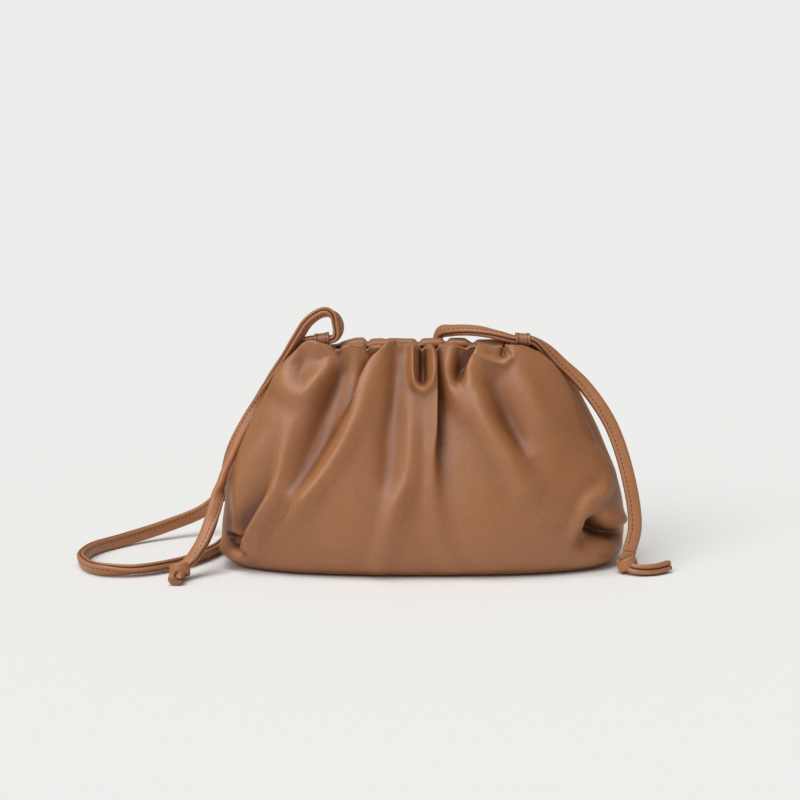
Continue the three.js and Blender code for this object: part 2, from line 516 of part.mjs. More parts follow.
addPiece('pouch_body', pouchBody(), BODY_LEATHER);
const barOut = MOUTH_SLIT / 2 + BAR_THICKNESS / 2;
const barHeight = BAR_TOP - BAR_HEIGHT / 2;
addPiece('front_mouth_bar', mouthBar(), BAR_LEATHER, [BAR_MIDDLE, -barOut, barHeight]);
addPiece('back_mouth_bar', mouthBar(), BAR_LEATHER, [BAR_MIDDLE, barOut, barHeight]);
addPiece('left_keeper', keeper(1), KEEPER_LEATHER, [BAR_MIDDLE - KEEPER_OUT, 0, KEEPER_HEIGHT]);
addPiece('right_keeper', keeper(-1), KEEPER_LEATHER, [BAR_MIDDLE + KEEPER_OUT, 0, KEEPER_HEIGHT]);
addPiece('shoulder_strap', shoulderStrap(), STRAP_LEATHER);
const leftKnot = knot(LEFT_KNOT_PLACE, LEFT_TAIL, strapLine.getPoint(0), strapLine.getTangent(0));
const backwards = strapLine.getTangent(1).negate();
const rightKnot = knot(RIGHT_KNOT_PLACE, RIGHT_TAIL, strapLine.getPoint(1), backwards);
addPiece('left_knot', leftKnot, STRAP_LEATHER, LEFT_KNOT_PLACE);
addPiece('right_knot', rightKnot, STRAP_LEATHER, RIGHT_KNOT_PLACE);

export default bag;
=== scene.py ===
import math

import bpy
import numpy as np
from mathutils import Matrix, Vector, noise


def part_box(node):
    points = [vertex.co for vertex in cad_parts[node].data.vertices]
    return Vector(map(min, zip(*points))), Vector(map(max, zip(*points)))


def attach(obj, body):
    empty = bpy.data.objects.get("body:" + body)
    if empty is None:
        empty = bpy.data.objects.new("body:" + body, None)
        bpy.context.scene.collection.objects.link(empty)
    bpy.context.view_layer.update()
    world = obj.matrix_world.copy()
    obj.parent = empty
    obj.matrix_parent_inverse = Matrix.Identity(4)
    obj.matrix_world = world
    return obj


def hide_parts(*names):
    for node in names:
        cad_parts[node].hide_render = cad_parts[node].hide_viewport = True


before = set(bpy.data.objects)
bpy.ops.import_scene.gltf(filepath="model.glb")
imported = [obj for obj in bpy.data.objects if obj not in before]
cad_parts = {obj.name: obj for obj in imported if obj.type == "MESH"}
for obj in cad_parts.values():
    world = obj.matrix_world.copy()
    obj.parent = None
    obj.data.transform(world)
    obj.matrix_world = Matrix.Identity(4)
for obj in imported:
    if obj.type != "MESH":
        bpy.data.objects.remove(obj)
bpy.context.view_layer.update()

MM = 0.001
PLAIN_SHADE = 0.5  # neither painted shade nor painted highlight

# Camera, at the photograph's viewing angle
CAMERA_PLACE = (-0.0145, -1.3, 0.33)
CAMERA_TILT = math.radians(10.166)  # looks down by this much
SENSOR_WIDTH = 36.0
FOCAL_PIXELS = 2237.0
PICTURE_PIXELS = 800.0


def add_camera():
    data = bpy.data.cameras.new("camera")
    data.sensor_width = SENSOR_WIDTH
    data.lens = FOCAL_PIXELS * SENSOR_WIDTH / PICTURE_PIXELS
    camera = bpy.data.objects.new("camera", data)
    camera.location = CAMERA_PLACE
    camera.rotation_euler = (math.pi / 2 - CAMERA_TILT, 0, 0)
    bpy.context.collection.objects.link(camera)
    bpy.context.scene.camera = camera


add_camera()


# Small helpers

def smoothstep(value, low, high):
    t = np.clip((value - low) / (high - low), 0, 1)
    return t * t * (3 - 2 * t)


def unit(vectors):
    return vectors / np.linalg.norm(vectors, axis=-1, keepdims=True)


def add_mesh(name, points, faces, material, shades=None):
    """A smooth mesh object from points in metres, with one painted shade a point, plain where there are none.
    """
    mesh = bpy.data.meshes.new(name)
    mesh.from_pydata(np.asarray(points).tolist(), [], faces)
    mesh.polygons.foreach_set("use_smooth", [True] * len(mesh.polygons))
    shades = np.full(len(points), PLAIN_SHADE) if shades is None else shades
    layer = mesh.attributes.new("shade", "FLOAT", "POINT")
    layer.data.foreach_set("value", np.asarray(shades, dtype=np.float32))
    mesh.materials.append(material)
    mesh.update()
    piece = bpy.data.objects.new(name, mesh)
    bpy.context.collection.objects.link(piece)
    return piece


def ring_faces(rings, columns, closed_ends=()):
    """Quads between rings of points that go round, with one n-gon on each closed end."""
    faces = []
    for r in range(rings - 1):
        for c in range(columns):
            d = (c + 1) % columns
            faces.append((r * columns + c, r * columns + d, (r + 1) * columns + d, (r + 1) * columns + c))
    if "first" in closed_ends:
        faces.append(tuple(range(columns))[::-1])
    if "last" in closed_ends:
        faces.append(tuple((rings - 1) * columns + c for c in range(columns)))
    return faces


# Materials

def new_material(name, colour, roughness):
    material = bpy.data.materials.new(name)
    material.use_nodes = True
    shader = material.node_tree.nodes["Principled BSDF"]
    shader.inputs["Base Color"].default_value = (*colour, 1)
    shader.inputs["Roughness"].default_value = roughness
    return material, material.node_tree, shader


def noise_node(tree, scale, detail, roughness=0.5):
    place = tree.nodes.new("ShaderNodeTexCoord")
    texture = tree.nodes.new("ShaderNodeTexNoise")
    texture.inputs["Scale"].default_value = scale
    texture.inputs["Detail"].default_value = detail
    texture.inputs["Roughness"].default_value = roughness
    tree.links.new(place.outputs["Object"], texture.inputs["Vector"])
    return texture.outputs["Fac"]


def ramp(tree, value, stops):
    node = tree.nodes.new("ShaderNodeValToRGB")
    node.color_ramp.elements[0].position = stops[0][0]
    node.color_ramp.elements[0].color = (*stops[0][1], 1)
    node.color_ramp.elements[1].position = stops[-1][0]
    node.color_ramp.elements[1].color = (*stops[-1][1], 1)
    for position, colour in stops[1:-1]:
        node.color_ramp.elements.new(position).color = (*colour, 1)
    tree.links.new(value, node.inputs["Fac"])
    return node.outputs["Color"]


def multiply(tree, first, second, share):
    node = tree.nodes.new("ShaderNodeMix")
    node.data_type = "RGBA"
    node.blend_type = "MULTIPLY"
    node.inputs["Factor"].default_value = share
    tree.links.new(first, node.inputs[6])
    tree.links.new(second, node.inputs[7])
    return node.outputs[2]


def span(tree, value, low, high):
    node = tree.nodes.new("ShaderNodeMapRange")
    node.inputs["To Min"].default_value = low
    node.inputs["To Max"].default_value = high
    tree.links.new(value, node.inputs["Value"])
    return node.outputs["Result"]


def add_bump(tree, shader, height, distance, strength, before=None):
    node = tree.nodes.new("ShaderNodeBump")
    node.inputs["Distance"].default_value = distance
    node.inputs["Strength"].default_value = strength
    tree.links.new(height, node.inputs["Height"])
    if before is not None:
        tree.links.new(before, node.inputs["Normal"])
    tree.links.new(node.outputs["Normal"], shader.inputs["Normal"])
    return node.outputs["Normal"]


def leather(name, colour, roughness, grain=1.0):
    """Smooth tan leather: clouded colour, painted highlight on ridges and painted shade in folds, fine pores
    and pebbles.
    """
    material, tree, shader = new_material(name, colour, roughness)
    shader.inputs["Specular IOR Level"].default_value = 0.65
    shader.inputs["Coat Weight"].default_value = 0.04
    shader.inputs["Coat Roughness"].default_value = 0.35
    red, green, blue = colour
    clouds = ramp(tree, noise_node(tree, scale=14, detail=4), [
        (0.30, (red * 0.90, green * 0.86, blue * 0.82)),
        (0.50, colour),
        (0.72, (min(red * 1.07, 1), green * 1.08, blue * 1.12)),
    ])
    specks = ramp(tree, noise_node(tree, scale=420, detail=3),
                  [(0.30, (0.88, 0.86, 0.84)), (0.60, (1, 1, 1))])
    # The shade attribute paints shade: dark where it is low (folds, hollows, grooves) and light as a painted
    # highlight where it is high (ridges).
    shade = tree.nodes.new("ShaderNodeAttribute")
    shade.attribute_name = "shade"
    painted_shade_and_highlight = ramp(tree, shade.outputs["Fac"], [
        (0.0, (0.42, 0.34, 0.28)),
        (0.28, (0.76, 0.70, 0.64)),
        (0.5, (1, 1, 1)),
        (1.0, (1.14, 1.17, 1.22)),
    ])
    base = multiply(tree, multiply(tree, clouds, specks, 0.6), painted_shade_and_highlight, 1.0)
    tree.links.new(base, shader.inputs["Base Color"])
    gloss = span(tree, noise_node(tree, scale=60, detail=5), roughness - 0.07, roughness + 0.09)
    tree.links.new(gloss, shader.inputs["Roughness"])
    place = tree.nodes.new("ShaderNodeTexCoord")
    pebbles = tree.nodes.new("ShaderNodeTexVoronoi")
    pebbles.feature = "SMOOTH_F1"
    pebbles.inputs["Scale"].default_value = 1150
    tree.links.new(place.outputs["Object"], pebbles.inputs["Vector"])
    uneven = noise_node(tree, scale=95, detail=5, roughness=0.6)
    first = add_bump(tree, shader, uneven, distance=0.0011, strength=0.16 * grain)
    add_bump(tree, shader, pebbles.outputs["Distance"], distance=0.00016, strength=0.30 * grain, before=first)
    return material


BODY_LEATHER = leather("body_leather", (0.335, 0.130, 0.044), 0.48)
# The strap's leather is painted lighter than the body's, as painted light on its lit top faces.
STRAP_LEATHER_PAINTED_LIGHTER = leather("strap_leather", (0.39, 0.155, 0.058), 0.46, grain=1.2)
KEEPER_LEATHER = leather("keeper_leather", (0.34, 0.135, 0.050), 0.42)
BAR_LEATHER = leather("bar_leather", (0.35, 0.145, 0.058), 0.45)
# The stitches are coloured near black as painted shade of the stitch holes.
THREAD_PAINTED_DARK = leather("strap_thread", (0.09, 0.034, 0.014), 0.6)


# The strap. Its places are the CAD's route, in millimetres.
STRAP_ROUTE = np.array([
    (-134.8, -42.5, 11.5), (-128.9, -35.5, 20.5), (-123.4, -25, 35), (-120, -13, 49), (-111.2, -1, 72),
    (-95.2, 3, 99), (-84.6, 2, 115.5), (-74.6, -0.6, 133.8), (-67.5, -1.8, 144.3), (-59, -1, 149.2),
    (-53.4, -0.3, 147.3), (-50.7, 0, 142), (-50.8, 0, 137.2), (-53, 0, 133.7), (-56.8, 0, 133),
    (-65.5, 0.2, 132.9), (-71, 4, 131.5), (-78, 12.5, 125.5), (-88.5, 20.5, 109), (-98.5, 29, 89),
    (-110, 44, 60), (-122, 58, 31), (-136, 61.5, 16.5), (-160, 50.5, 8.2), (-183, 33, 4.2), (-200, 8, 4.1),
    (-202, -18.5, 4.1), (-189.5, -38.5, 4.1), (-168, -39.5, 4.1), (-144.4, -23.2, 4.1), (-127, 5, 4.1),
    (-117, 36, 4.1), (-94, 56, 4.1), (-40, 57.5, 4.1), (-8, 57, 7), (8, 55.2, 24), (10.5, 52, 50),
    (9, 41.5, 80), (8, 25, 115), (9, 16, 134.4), (16, 9, 137.2), (30, 3.5, 137.9), (44, 0.5, 135.4),
    (53.5, 0, 133), (62, 0, 132.9), (70.2, 1, 128.2), (80.5, 0.5, 118.6), (93.8, -3.5, 106.4),
    (109, -12.5, 84.5), (119, -23.5, 54), (122.5, -29.5, 27), (119.2, -32, 13),
]) * MM

# Which way the strip's open edge faces at some places of the route
STRAP_EDGE = [
    (0, (0.8, -0.55, 0)), (1.2, (0.85, -0.4, -0.1)), (2.2, (0.85, 0.4, 0.1)), (3.1, (0.15, 1, 0.15)),
    (4.2, (-0.8, 0.5, 0.1)), (5.4, (-0.85, -0.35, 0.1)), (7, (-0.5, -0.83, 0.2)), (8, (-0.42, -0.85, 0.32)),
    (9, (-0.1, -0.85, 0.5)), (10, (-0.4, -0.88, 0.25)), (11, (-0.55, -0.83, 0)), (13, (-0.2, -1, 0)),
    (15, (0, -1, 0)), (17, (-0.3, -0.9, 0.3)), (19, (-0.85, -0.2, 0.45)), (21, (-0.8, 0, 0.6)),
    (23, (0, 0.1, 1)), (25, (0, 0, 1)), (26, (-0.25, -0.05, 0.97)), (27, (-0.2, -0.4, 0.9)),
    (28, (0, -0.85, 0.5)), (29, (0.1, -0.85, 0.5)), (30, (0.2, -0.5, 0.85)), (31, (0, 0, 1)), (33, (0, 0, 1)),
    (35, (0.9, 0, 0.3)), (37, (1, 0, 0)), (38, (0.7, -0.5, -0.3)), (39, (0.1, -0.85, -0.5)),
    (40, (0.1, -0.95, -0.35)), (41, (0.05, -0.95, -0.3)), (42, (0, -1, -0.1)), (43, (0, -1, 0)),
    (44, (0, -1, 0)), (46, (-0.6, -0.6, -0.5)), (48, (-0.85, -0.2, -0.45)), (51, (-1, 0, 0.1)),
]

STRAP_WIDTH = 0.008  # the folded strip
STRAP_THICKNESS = 0.0046
LIP_SHARE = 0.92  # of the half thickness, between stitches and edge
STITCH_FROM_EDGE = 0.0022
STITCH_PITCH = 0.0028
STITCH_LENGTH = 0.0019
STITCH_WIDTH = 0.00055
STITCH_HEIGHT = 0.0005
STITCH_SINK = 0.00018  # of a stitch's middle below the strip's face
GROOVE_HALF = 0.0007  # half the width of the stitches' dent
GROOVE_DEPTH = 0.00022
RINGS_TO_A_PLACE = 14


def between(first, second, low, high, at):
    """The point at a place between two others, whose own places are low and high."""
    return (first * (high - at) + second * (at - low)) / (high - low)


def centripetal(places, parts):
    """Centripetal Catmull-Rom line through the places, each stretch in as many parts."""
    first = 2 * places[0] - places[1]
    last = 2 * places[-1] - places[-2]
    all_places = np.vstack([first, places, last])
    line = []
    for k in range(1, len(all_places) - 2):
        around = all_places[k - 1:k + 3]
        steps = np.linalg.norm(np.diff(around, axis=0), axis=1) ** 0.5
        a, b, c, d = np.concatenate([[0], np.cumsum(steps)])
        for part in range(parts):
            at = b + (c - b) * part / parts
            near = between(around[0], around[1], a, b, at)
            middle = between(around[1], around[2], b, c, at)
            far = between(around[2], around[3], c, d, at)
            line.append(between(between(near, middle, a, c, at), between(middle, far, b, d, at), b, c, at))
    line.append(places[-1])
    return np.array(line)


def strip_section(width, thickness):
    """Closed outline of a strip folded in half: (towards the open edge, towards one face) in metres."""
    half = thickness / 2
    fold_middle = -width / 2 + half
    edge = width / 2
    stitch = edge - STITCH_FROM_EDGE
    lip = half * LIP_SHARE
    outline = []
    for turn in np.radians(np.linspace(112.5, 247.5, 7)):
        outline.append((fold_middle + half * math.cos(turn), half * math.sin(turn)))
    outline.append((fold_middle, -half))
    side = [
        (0.0, -half), (stitch - GROOVE_HALF, -half), (stitch, -half + GROOVE_DEPTH),
        (stitch + GROOVE_HALF, -lip), (edge - 0.0006, -lip), (edge - 0.00012, -lip * 0.78),
        (edge, -lip * 0.5), (edge - 0.00020, -0.00030), (edge - 0.0012, -0.00008),
    ]
    outline += side
    outline += [(u, -w) for u, w in reversed(side)]
    outline.append((fold_middle, half))
    return np.array(outline)


def strip_frames(line, edges):
    """Tangent, direction of the open edge and direction of one face, at each point of a line."""
    tangents = unit(np.gradient(line, axis=0))
    across = unit(edges - tangents * np.sum(edges * tangents, axis=1, keepdims=True))
    return tangents, across, np.cross(tangents, across)


def turning_ways(ways, places, count, parts):
    """Directions of so many rings, turned smoothly from each way at its place to the next."""
    ways, places = unit(np.array(ways, float)), np.array(places, float)
    at = np.arange(count) / parts
    index = np.clip(np.searchsorted(places, at, side="right") - 1, 0, len(places) - 2)
    t = smoothstep((at - places[index]) / (places[index + 1] - places[index]), 0, 1)[:, None]
    return unit(ways[index] * (1 - t) + ways[index + 1] * t)


def sweep(line, across, faces, section, shares=None):
    """Points of a section carried along a line, none below the floor, with its size in shares a ring."""
    shares = np.ones(len(line)) if shares is None else shares
    points = (line[:, None, :]
              + across[:, None, :] * (section[None, :, 0:1] * shares[:, None, None])
              + faces[:, None, :] * (section[None, :, 1:2] * shares[:, None, None]))
    points[..., 2] = np.maximum(points[..., 2], 0)
    return points.reshape(-1, 3)


def painted_section_shades(section, width):
    """Painted shade in the groove and at the stitch line, painted highlight at the lips and the fold."""
    edge = width / 2
    shades = np.full(len(section), PLAIN_SHADE)
    shades[(section[:, 0] > edge - 0.0014) & (abs(section[:, 1]) < 0.00035)] = 0.0
    shades[section[:, 0] > edge - 0.00015] = 0.75
    shades[section[:, 0] < -edge + 0.0008] = 0.62
    return shades


BEAD_RINGS = ((-0.5, 0.25), (-0.36, 0.8), (0, 1), (0.36, 0.8), (0.5, 0.25))
BEAD_SIDES = 6


def bead_row(name, centres, longways, sideways, upways, length, width, height, material):
    """Short rounded beads, one at each centre, as one mesh: stitches."""
    template = []
    for along, size in BEAD_RINGS:
        for turn in np.arange(BEAD_SIDES) * math.pi / 3:
            template.append((along * length, math.cos(turn) * width / 2 * size,
                             math.sin(turn) * height / 2 * size))
    template = np.array(template)
    points = (centres[:, None, :]
              + longways[:, None, :] * template[None, :, 0:1]
              + sideways[:, None, :] * template[None, :, 1:2]
              + upways[:, None, :] * template[None, :, 2:3])
    one = ring_faces(len(BEAD_RINGS), BEAD_SIDES, ("first", "last"))
    count = len(template)
    faces = [tuple(i + k * count for i in face) for k in range(len(centres)) for face in one]
    return add_mesh(name, points.reshape(-1, 3), faces, material)


def strip_along(line, ways, width, thickness, shares=None):
    """Points, faces and shades of a folded strip along a line, with its size in shares a ring."""
    tangents, across, faces = strip_frames(line, ways)
    section = strip_section(width, thickness)
    points = sweep(line, across, faces, section, shares)
    shades = np.tile(painted_section_shades(section, width), len(line))
    return points, ring_faces(len(line), len(section), ("first", "last")), shades


def make_strap():
    line = centripetal(STRAP_ROUTE, RINGS_TO_A_PLACE)
    edge_places, edge_ways = zip(*STRAP_EDGE)
    edges = turning_ways(edge_ways, edge_places, len(line), RINGS_TO_A_PLACE)
    points, quads, shades = strip_along(line, edges, STRAP_WIDTH, STRAP_THICKNESS)
    strap = add_mesh("strap", points, quads, STRAP_LEATHER_PAINTED_LIGHTER, shades)

    steps = np.linalg.norm(np.diff(line, axis=0), axis=1)
    travelled = np.concatenate([[0], np.cumsum(steps)])
    length = travelled[-1]
    at = np.arange(STITCH_PITCH, length - STITCH_PITCH, STITCH_PITCH)

    def along(values):
        return np.stack([np.interp(at, travelled, values[:, k]) for k in range(3)], axis=1)

    tangents, across, faces = strip_frames(line, edges)
    centre, tangent = along(line), unit(along(tangents))
    side, face = unit(along(across)), unit(along(faces))
    offset = STRAP_WIDTH / 2 - STITCH_FROM_EDGE
    rise = STRAP_THICKNESS / 2 - STITCH_SINK
    centres = np.concatenate([centre + side * offset + face * rise, centre + side * offset - face * rise])
    stitches = bead_row("strap_stitches", centres, np.tile(tangent, (2, 1)), np.tile(side, (2, 1)),
                        np.tile(face, (2, 1)), STITCH_LENGTH, STITCH_WIDTH, STITCH_HEIGHT, THREAD_PAINTED_DARK)
    return strap, stitches, line, length


strap, strap_stitches, strap_line, strap_length = make_strap()


# Knots: the strap makes one overhand turn, pulled tight, and leaves as a short cut end

KNOT_STRIP_WIDTH = 0.0066
KNOT_STRIP_THICKNESS = 0.004
NECK_SHARE = 0.8  # of the strap's size, where the neck goes into the turn
COLLAR_RADIUS = 0.0043  # of the turn's middle line
COLLAR_TURN = math.radians(430)
COLLAR_RISE = 0.0011  # of the turn's ends above and below its middle
COLLAR_RINGS = 72
COLLAR_SQUEEZE = 0.16  # the turn's end is pulled in by this share
COLLAR_SQUEEZE_OVER = 1.6  # radians
COLLAR_THINNING = 0.9  # of the thickness


def make_knot(name, neck, neck_way, collar_middle, collar_axis, collar_start, tail, tail_edges, tail_size,
              parts=10):
    """The neck of the strap, the turn round it and the cut end, from places in millimetres."""
    neck = centripetal(np.array(neck, float) * MM, parts)
    neck_ways = np.tile(unit(np.array(neck_way)), (len(neck), 1))
    axis = unit(np.array(collar_axis, float))
    side = unit(np.cross(axis, (0.0, 1.0, 0.0)))
    front = np.cross(axis, side)
    turned = np.linspace(0, COLLAR_TURN, COLLAR_RINGS)
    squeeze = 1 - COLLAR_SQUEEZE * smoothstep(turned, COLLAR_TURN - COLLAR_SQUEEZE_OVER, COLLAR_TURN)
    turns = collar_start + turned
    collar = (np.array(collar_middle, float) * MM
              + (side * np.cos(turns)[:, None] + front * np.sin(turns)[:, None])
              * (COLLAR_RADIUS * squeeze)[:, None]
              + axis * np.linspace(-COLLAR_RISE, COLLAR_RISE, COLLAR_RINGS)[:, None])
    collar_ways = np.tile(axis, (COLLAR_RINGS, 1))
    tail_line = centripetal(np.array(tail, float) * MM, parts)
    tail_ways = turning_ways(tail_edges, range(len(tail)), len(tail_line), parts)
    strips = [
        strip_along(neck, neck_ways, STRAP_WIDTH, STRAP_THICKNESS, np.linspace(1, NECK_SHARE, len(neck))),
        strip_along(collar, collar_ways, KNOT_STRIP_WIDTH, KNOT_STRIP_THICKNESS * COLLAR_THINNING),
        strip_along(tail_line, tail_ways, *tail_size),
    ]
    points, faces, shades, count = [], [], [], 0
    for strip_points, strip_faces, strip_shades in strips:
        points.append(strip_points)
        faces += [tuple(i + count for i in face) for face in strip_faces]
        shades.append(strip_shades)
        count += len(strip_points)
    return add_mesh(name, np.concatenate(points), faces, STRAP_LEATHER_PAINTED_LIGHTER, np.concatenate(shades))


left_knot = make_knot(
    "left_knot_turns",
    [(-134.8, -42.5, 11.5), (-137.2, -44.6, 9.6), (-140.2, -46.4, 7.2), (-142, -47.2, 4.6)],
    STRAP_EDGE[0][1],
    (-141.6, -47, 5.9), (-0.12, 0.3, 0.95), math.radians(200),
    [(-141.6, -45.5, 3.8), (-142, -50, 3.6), (-142.6, -55.5, 3.4), (-142.8, -62, 3.4)],
    [(0.1, -0.4, 0.9), (0.1, -0.4, 0.9), (0.05, -0.3, 1), (0, -0.2, 1)], (0.0064, 0.0084))
right_knot = make_knot(
    "right_knot_turns",
    [(119.2, -32, 13), (118.9, -32.4, 10), (118.4, -32.6, 7), (118, -32.6, 4.6)],
    STRAP_EDGE[-1][1],
    (117.8, -32.5, 6), (-0.38, 0.22, 0.9), math.radians(320),
    [(117.5, -33, 4.2), (122.5, -37.2, 3.5), (129, -37.6, 3.3), (136, -34.4, 3.4), (141.8, -28.6, 3.6)],
    [(-0.2, -0.8, 0.6), (-0.2, -0.9, 0.35), (0.1, -1, 0.3), (0.4, -0.9, 0.3), (0.6, -0.8, 0.3)],
    (0.0068, 0.0062))

for piece in (strap, strap_stitches, left_knot, right_knot):
    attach(piece, "root")
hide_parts("shoulder_strap")
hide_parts("left_knot")
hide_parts("right_knot")


# The pouch

BODY_WIDTH = 240.0  # millimetres, as in the CAD
BODY_DEPTH = 96.0
BODY_HEIGHT = 132.0
LEATHER_WALL = 2.0

# Height, half width, half depth, squareness and shift sideways, as in the CAD but rounder at the base
SECTION_COLUMNS = ("height", "width", "depth", "square", "shift")
SECTIONS = np.array([
    (0, 0.87, 0.68, 2.7, -0.02),
    (0.01, 0.925, 0.815, 2.7, -0.018),
    (0.035, 0.972, 0.93, 2.7, -0.016),
    (0.08, 1, 1, 2.7, -0.012),
    (0.15, 1, 1.02, 2.7, -0.006),
    (0.27, 0.988, 1, 2.7, -0.002),
    (0.38, 0.965, 0.95, 2.7, -0.002),
    (0.49, 0.92, 0.86, 2.8, -0.006),
    (0.6, 0.868, 0.75, 2.9, -0.01),
    (0.71, 0.812, 0.63, 3, -0.012),
    (0.82, 0.752, 0.5, 3.1, -0.012),
    (0.9, 0.7, 0.375, 3.2, -0.012),
    (0.96, 0.648, 0.28, 3.3, -0.012),
    (1, 0.6, 0.235, 3.4, -0.0125),
])


def fold(left, right, line, sharp=1.0, over=0.0, form="round"):
    """One fold, with its widths left and right of its line. A point's fourth number is its own sharpness."""
    return dict(left=left, right=right, line=line, sharp=sharp, over=over, form=form)


# A round fold is a ridge or a valley, a creased one has a sharp bottom, and an edge is high on the left of
# its line and lies over its low side. A line goes through places (across, up, height): the first two are
# shares of the half width, or half depth at the gussets, and of the body's height. The rest is millimetres.
FRONT_FOLDS = [
    # hollow under the left end of the front, and the ridge round it
    fold(8, 7, [(-0.6, 0.91, -4.5), (-0.52, 0.93, -4.5)]),
    fold(6.2, 6.2, [(-0.7, 0.9, 1), (-0.67, 0.82, 3), (-0.59, 0.79, 3.4), (-0.51, 0.86, 3.2),
         (-0.45, 0.95, 2.5)]),
    # long valley from the notch at the left, and the pleat beside it
    fold(16, 7.5, [(-0.43, 0.985, -6), (-0.41, 0.9, -9.5), (-0.464, 0.78, -10.5), (-0.534, 0.63, -9),
         (-0.6, 0.48, -4.5), (-0.64, 0.37, 0)]),
    fold(1.8, 1.8, [(-0.43, 1, -5), (-0.425, 0.965, -3.5), (-0.41, 0.945, 0)], sharp=0.6, form="creased"),
    fold(5, 5, [(-0.33, 1, 3.5), (-0.36, 0.845, 3), (-0.42, 0.69, 1.5)]),
    fold(4, 4, [(-0.275, 1, -3), (-0.28, 0.96, -2.5), (-0.268, 0.92, 0)], sharp=0.5, form="edge"),
    # long slanting fold that overlaps the pleat
    fold(14, 8, [(-0.19, 1, 8, 0.7), (-0.254, 0.936, 10.5, 0.7), (-0.326, 0.82, 10, 1.2),
         (-0.38, 0.71, 8.5, 2.6), (-0.454, 0.593, 7, 4), (-0.55, 0.45, 6, 4.5),
         (-0.638, 0.32, 2, 4)], over=3.4, form="edge"),
    fold(6, 6, [(-0.2, 0.96, 1), (-0.27, 0.82, 2), (-0.32, 0.71, 2.4), (-0.4, 0.593, 2.4),
         (-0.5, 0.453, 2.8), (-0.6, 0.335, 3.2), (-0.64, 0.29, 1)]),
    fold(11, 5.5, [(-0.135, 0.985, -4), (-0.13, 0.9, -5), (-0.15, 0.76, -4.5), (-0.18, 0.62, -3.4),
         (-0.19, 0.47, -2.8), (-0.2, 0.37, 0)]),
    fold(6, 6, [(-0.085, 0.92, 1.5), (-0.077, 0.66, 3), (-0.09, 0.46, 3), (-0.164, 0.28, 2.6),
         (-0.227, 0.08, 2)]),
    # pleat in the middle, a ridge like a U round a narrow slot
    fold(1.8, 1.8, [(-0.056, 1.02, 5), (-0.058, 0.87, 5.4), (-0.048, 0.83, 5), (-0.014, 0.805, 4.6),
         (0.016, 0.83, 5), (0.026, 0.87, 5.4), (0.029, 1.02, 5)]),
    fold(1.7, 1.7, [(-0.014, 1.02, -9), (-0.014, 0.91, -8.5), (-0.015, 0.85, -5)]),
    # deep crease right of the middle, fading to the base
    fold(7, 13, [(0.169, 0.02, 2, 7), (0.104, 0.13, 3, 6), (0.066, 0.32, 4.5, 5), (0.055, 0.486, 7.5, 2.6),
         (0.05, 0.64, 10.5, 0.9), (0.05, 0.85, 11.5, 0.7), (0.052, 1, 9, 0.7)], over=2.6, form="edge"),
    # ridges and valleys right of the crease
    fold(5, 4.5, [(0.135, 1, 4), (0.111, 0.9, 5), (0.135, 0.82, 4.2), (0.18, 0.72, 1.5)]),
    fold(3.8, 3.8, [(0.205, 0.99, -6.5), (0.18, 0.907, -7.5), (0.159, 0.84, -1.5)]),
    fold(9, 7, [(0.262, 1, 8, 0.7), (0.217, 0.92, 9, 0.8), (0.188, 0.865, 4.5, 1.6),
         (0.18, 0.8, 0, 4)], over=2.4, form="edge"),
    fold(8.5, 8.5, [(0.2, 0.87, 2), (0.256, 0.763, 6), (0.304, 0.662, 7.2), (0.401, 0.523, 6.8),
         (0.464, 0.408, 4.4)]),
    fold(8, 8, [(0.333, 0.83, -4.5), (0.401, 0.688, -6.5), (0.464, 0.598, -5), (0.507, 0.523, -1.5)]),
    fold(8, 8, [(0.43, 0.96, 2), (0.512, 0.833, 3), (0.594, 0.688, 3.2), (0.652, 0.598, 1.5)]),
    # small curl and slit below the right end of the mouth
    fold(2.3, 2.3, [(0.256, 0.965, 1.5), (0.324, 0.935, 2.8), (0.382, 0.922, 3), (0.415, 0.955, 2)]),
    fold(1.6, 1.6, [(0.386, 1, -5), (0.384, 0.955, -4), (0.38, 0.94, 0)], sharp=0.5, form="creased"),
    # tuck at the lower right: slit, hollow below it, rim round it and nose above it
    fold(3, 4, [(0.795, 0.243, -3), (0.826, 0.222, -13), (0.937, 0.16, -14),
         (1.02, 0.138, -9)], sharp=0.6, form="creased"),
    fold(9, 9, [(0.84, 0.185, -7), (0.79, 0.155, -5)]),
    fold(4.5, 5, [(0.894, 0.404, 1), (0.855, 0.355, 3), (0.792, 0.326, 3.6), (0.754, 0.26, 3.6),
         (0.72, 0.175, 1.8)]),
    fold(4, 3.5, [(0.9, 0.235, 2), (1, 0.2, 4.5)]),
    # hollow of the left gusset behind the sharp edge of the front, slit at its foot and lip below the slit
    fold(7, 17, [(-0.68, 0.7, 0, 6), (-0.72, 0.503, 6, 5), (-0.755, 0.387, 9, 3), (-0.808, 0.283, 12, 1.6),
         (-0.858, 0.175, 13, 1), (-0.88, 0.125, 10, 1), (-0.892, 0.095, 4, 1.5),
         (-0.9, 0.07, 0, 2)], over=1.6, form="edge"),
    fold(3.2, 3, [(-0.8, 0.6, 0.5), (-0.885, 0.46, 1.6), (-0.925, 0.34, 2.4), (-0.935, 0.17, 2.4)]),
    fold(2, 1.5, [(-1, 0.136, -6), (-0.952, 0.122, -16), (-0.895, 0.108, -16),
         (-0.882, 0.108, 0)], sharp=0.5, form="creased"),
    fold(4, 3, [(-1, 0.085, 2), (-0.93, 0.07, 2.6), (-0.87, 0.07, 1.6), (-0.83, 0.09, 0)]),
    # slack belly low on the front
    fold(26, 22, [(-0.4, 0.22, 2), (0.4, 0.24, 3)]),
]
LEFT_GUSSET_FOLDS = [
    fold(6.6, 4.6, [(0.042, 1, -10), (0.05, 0.82, -10.5), (0.07, 0.6, -9.5), (0.1, 0.4, -6),
         (0.1, 0.22, -2)]),
]
RIGHT_GUSSET_FOLDS = [
    fold(5.4, 6.2, [(0, 1, -10), (0, 0.82, -8.5), (-0.02, 0.6, -6), (-0.04, 0.4, -3.5), (0, 0.22, -1)]),
]
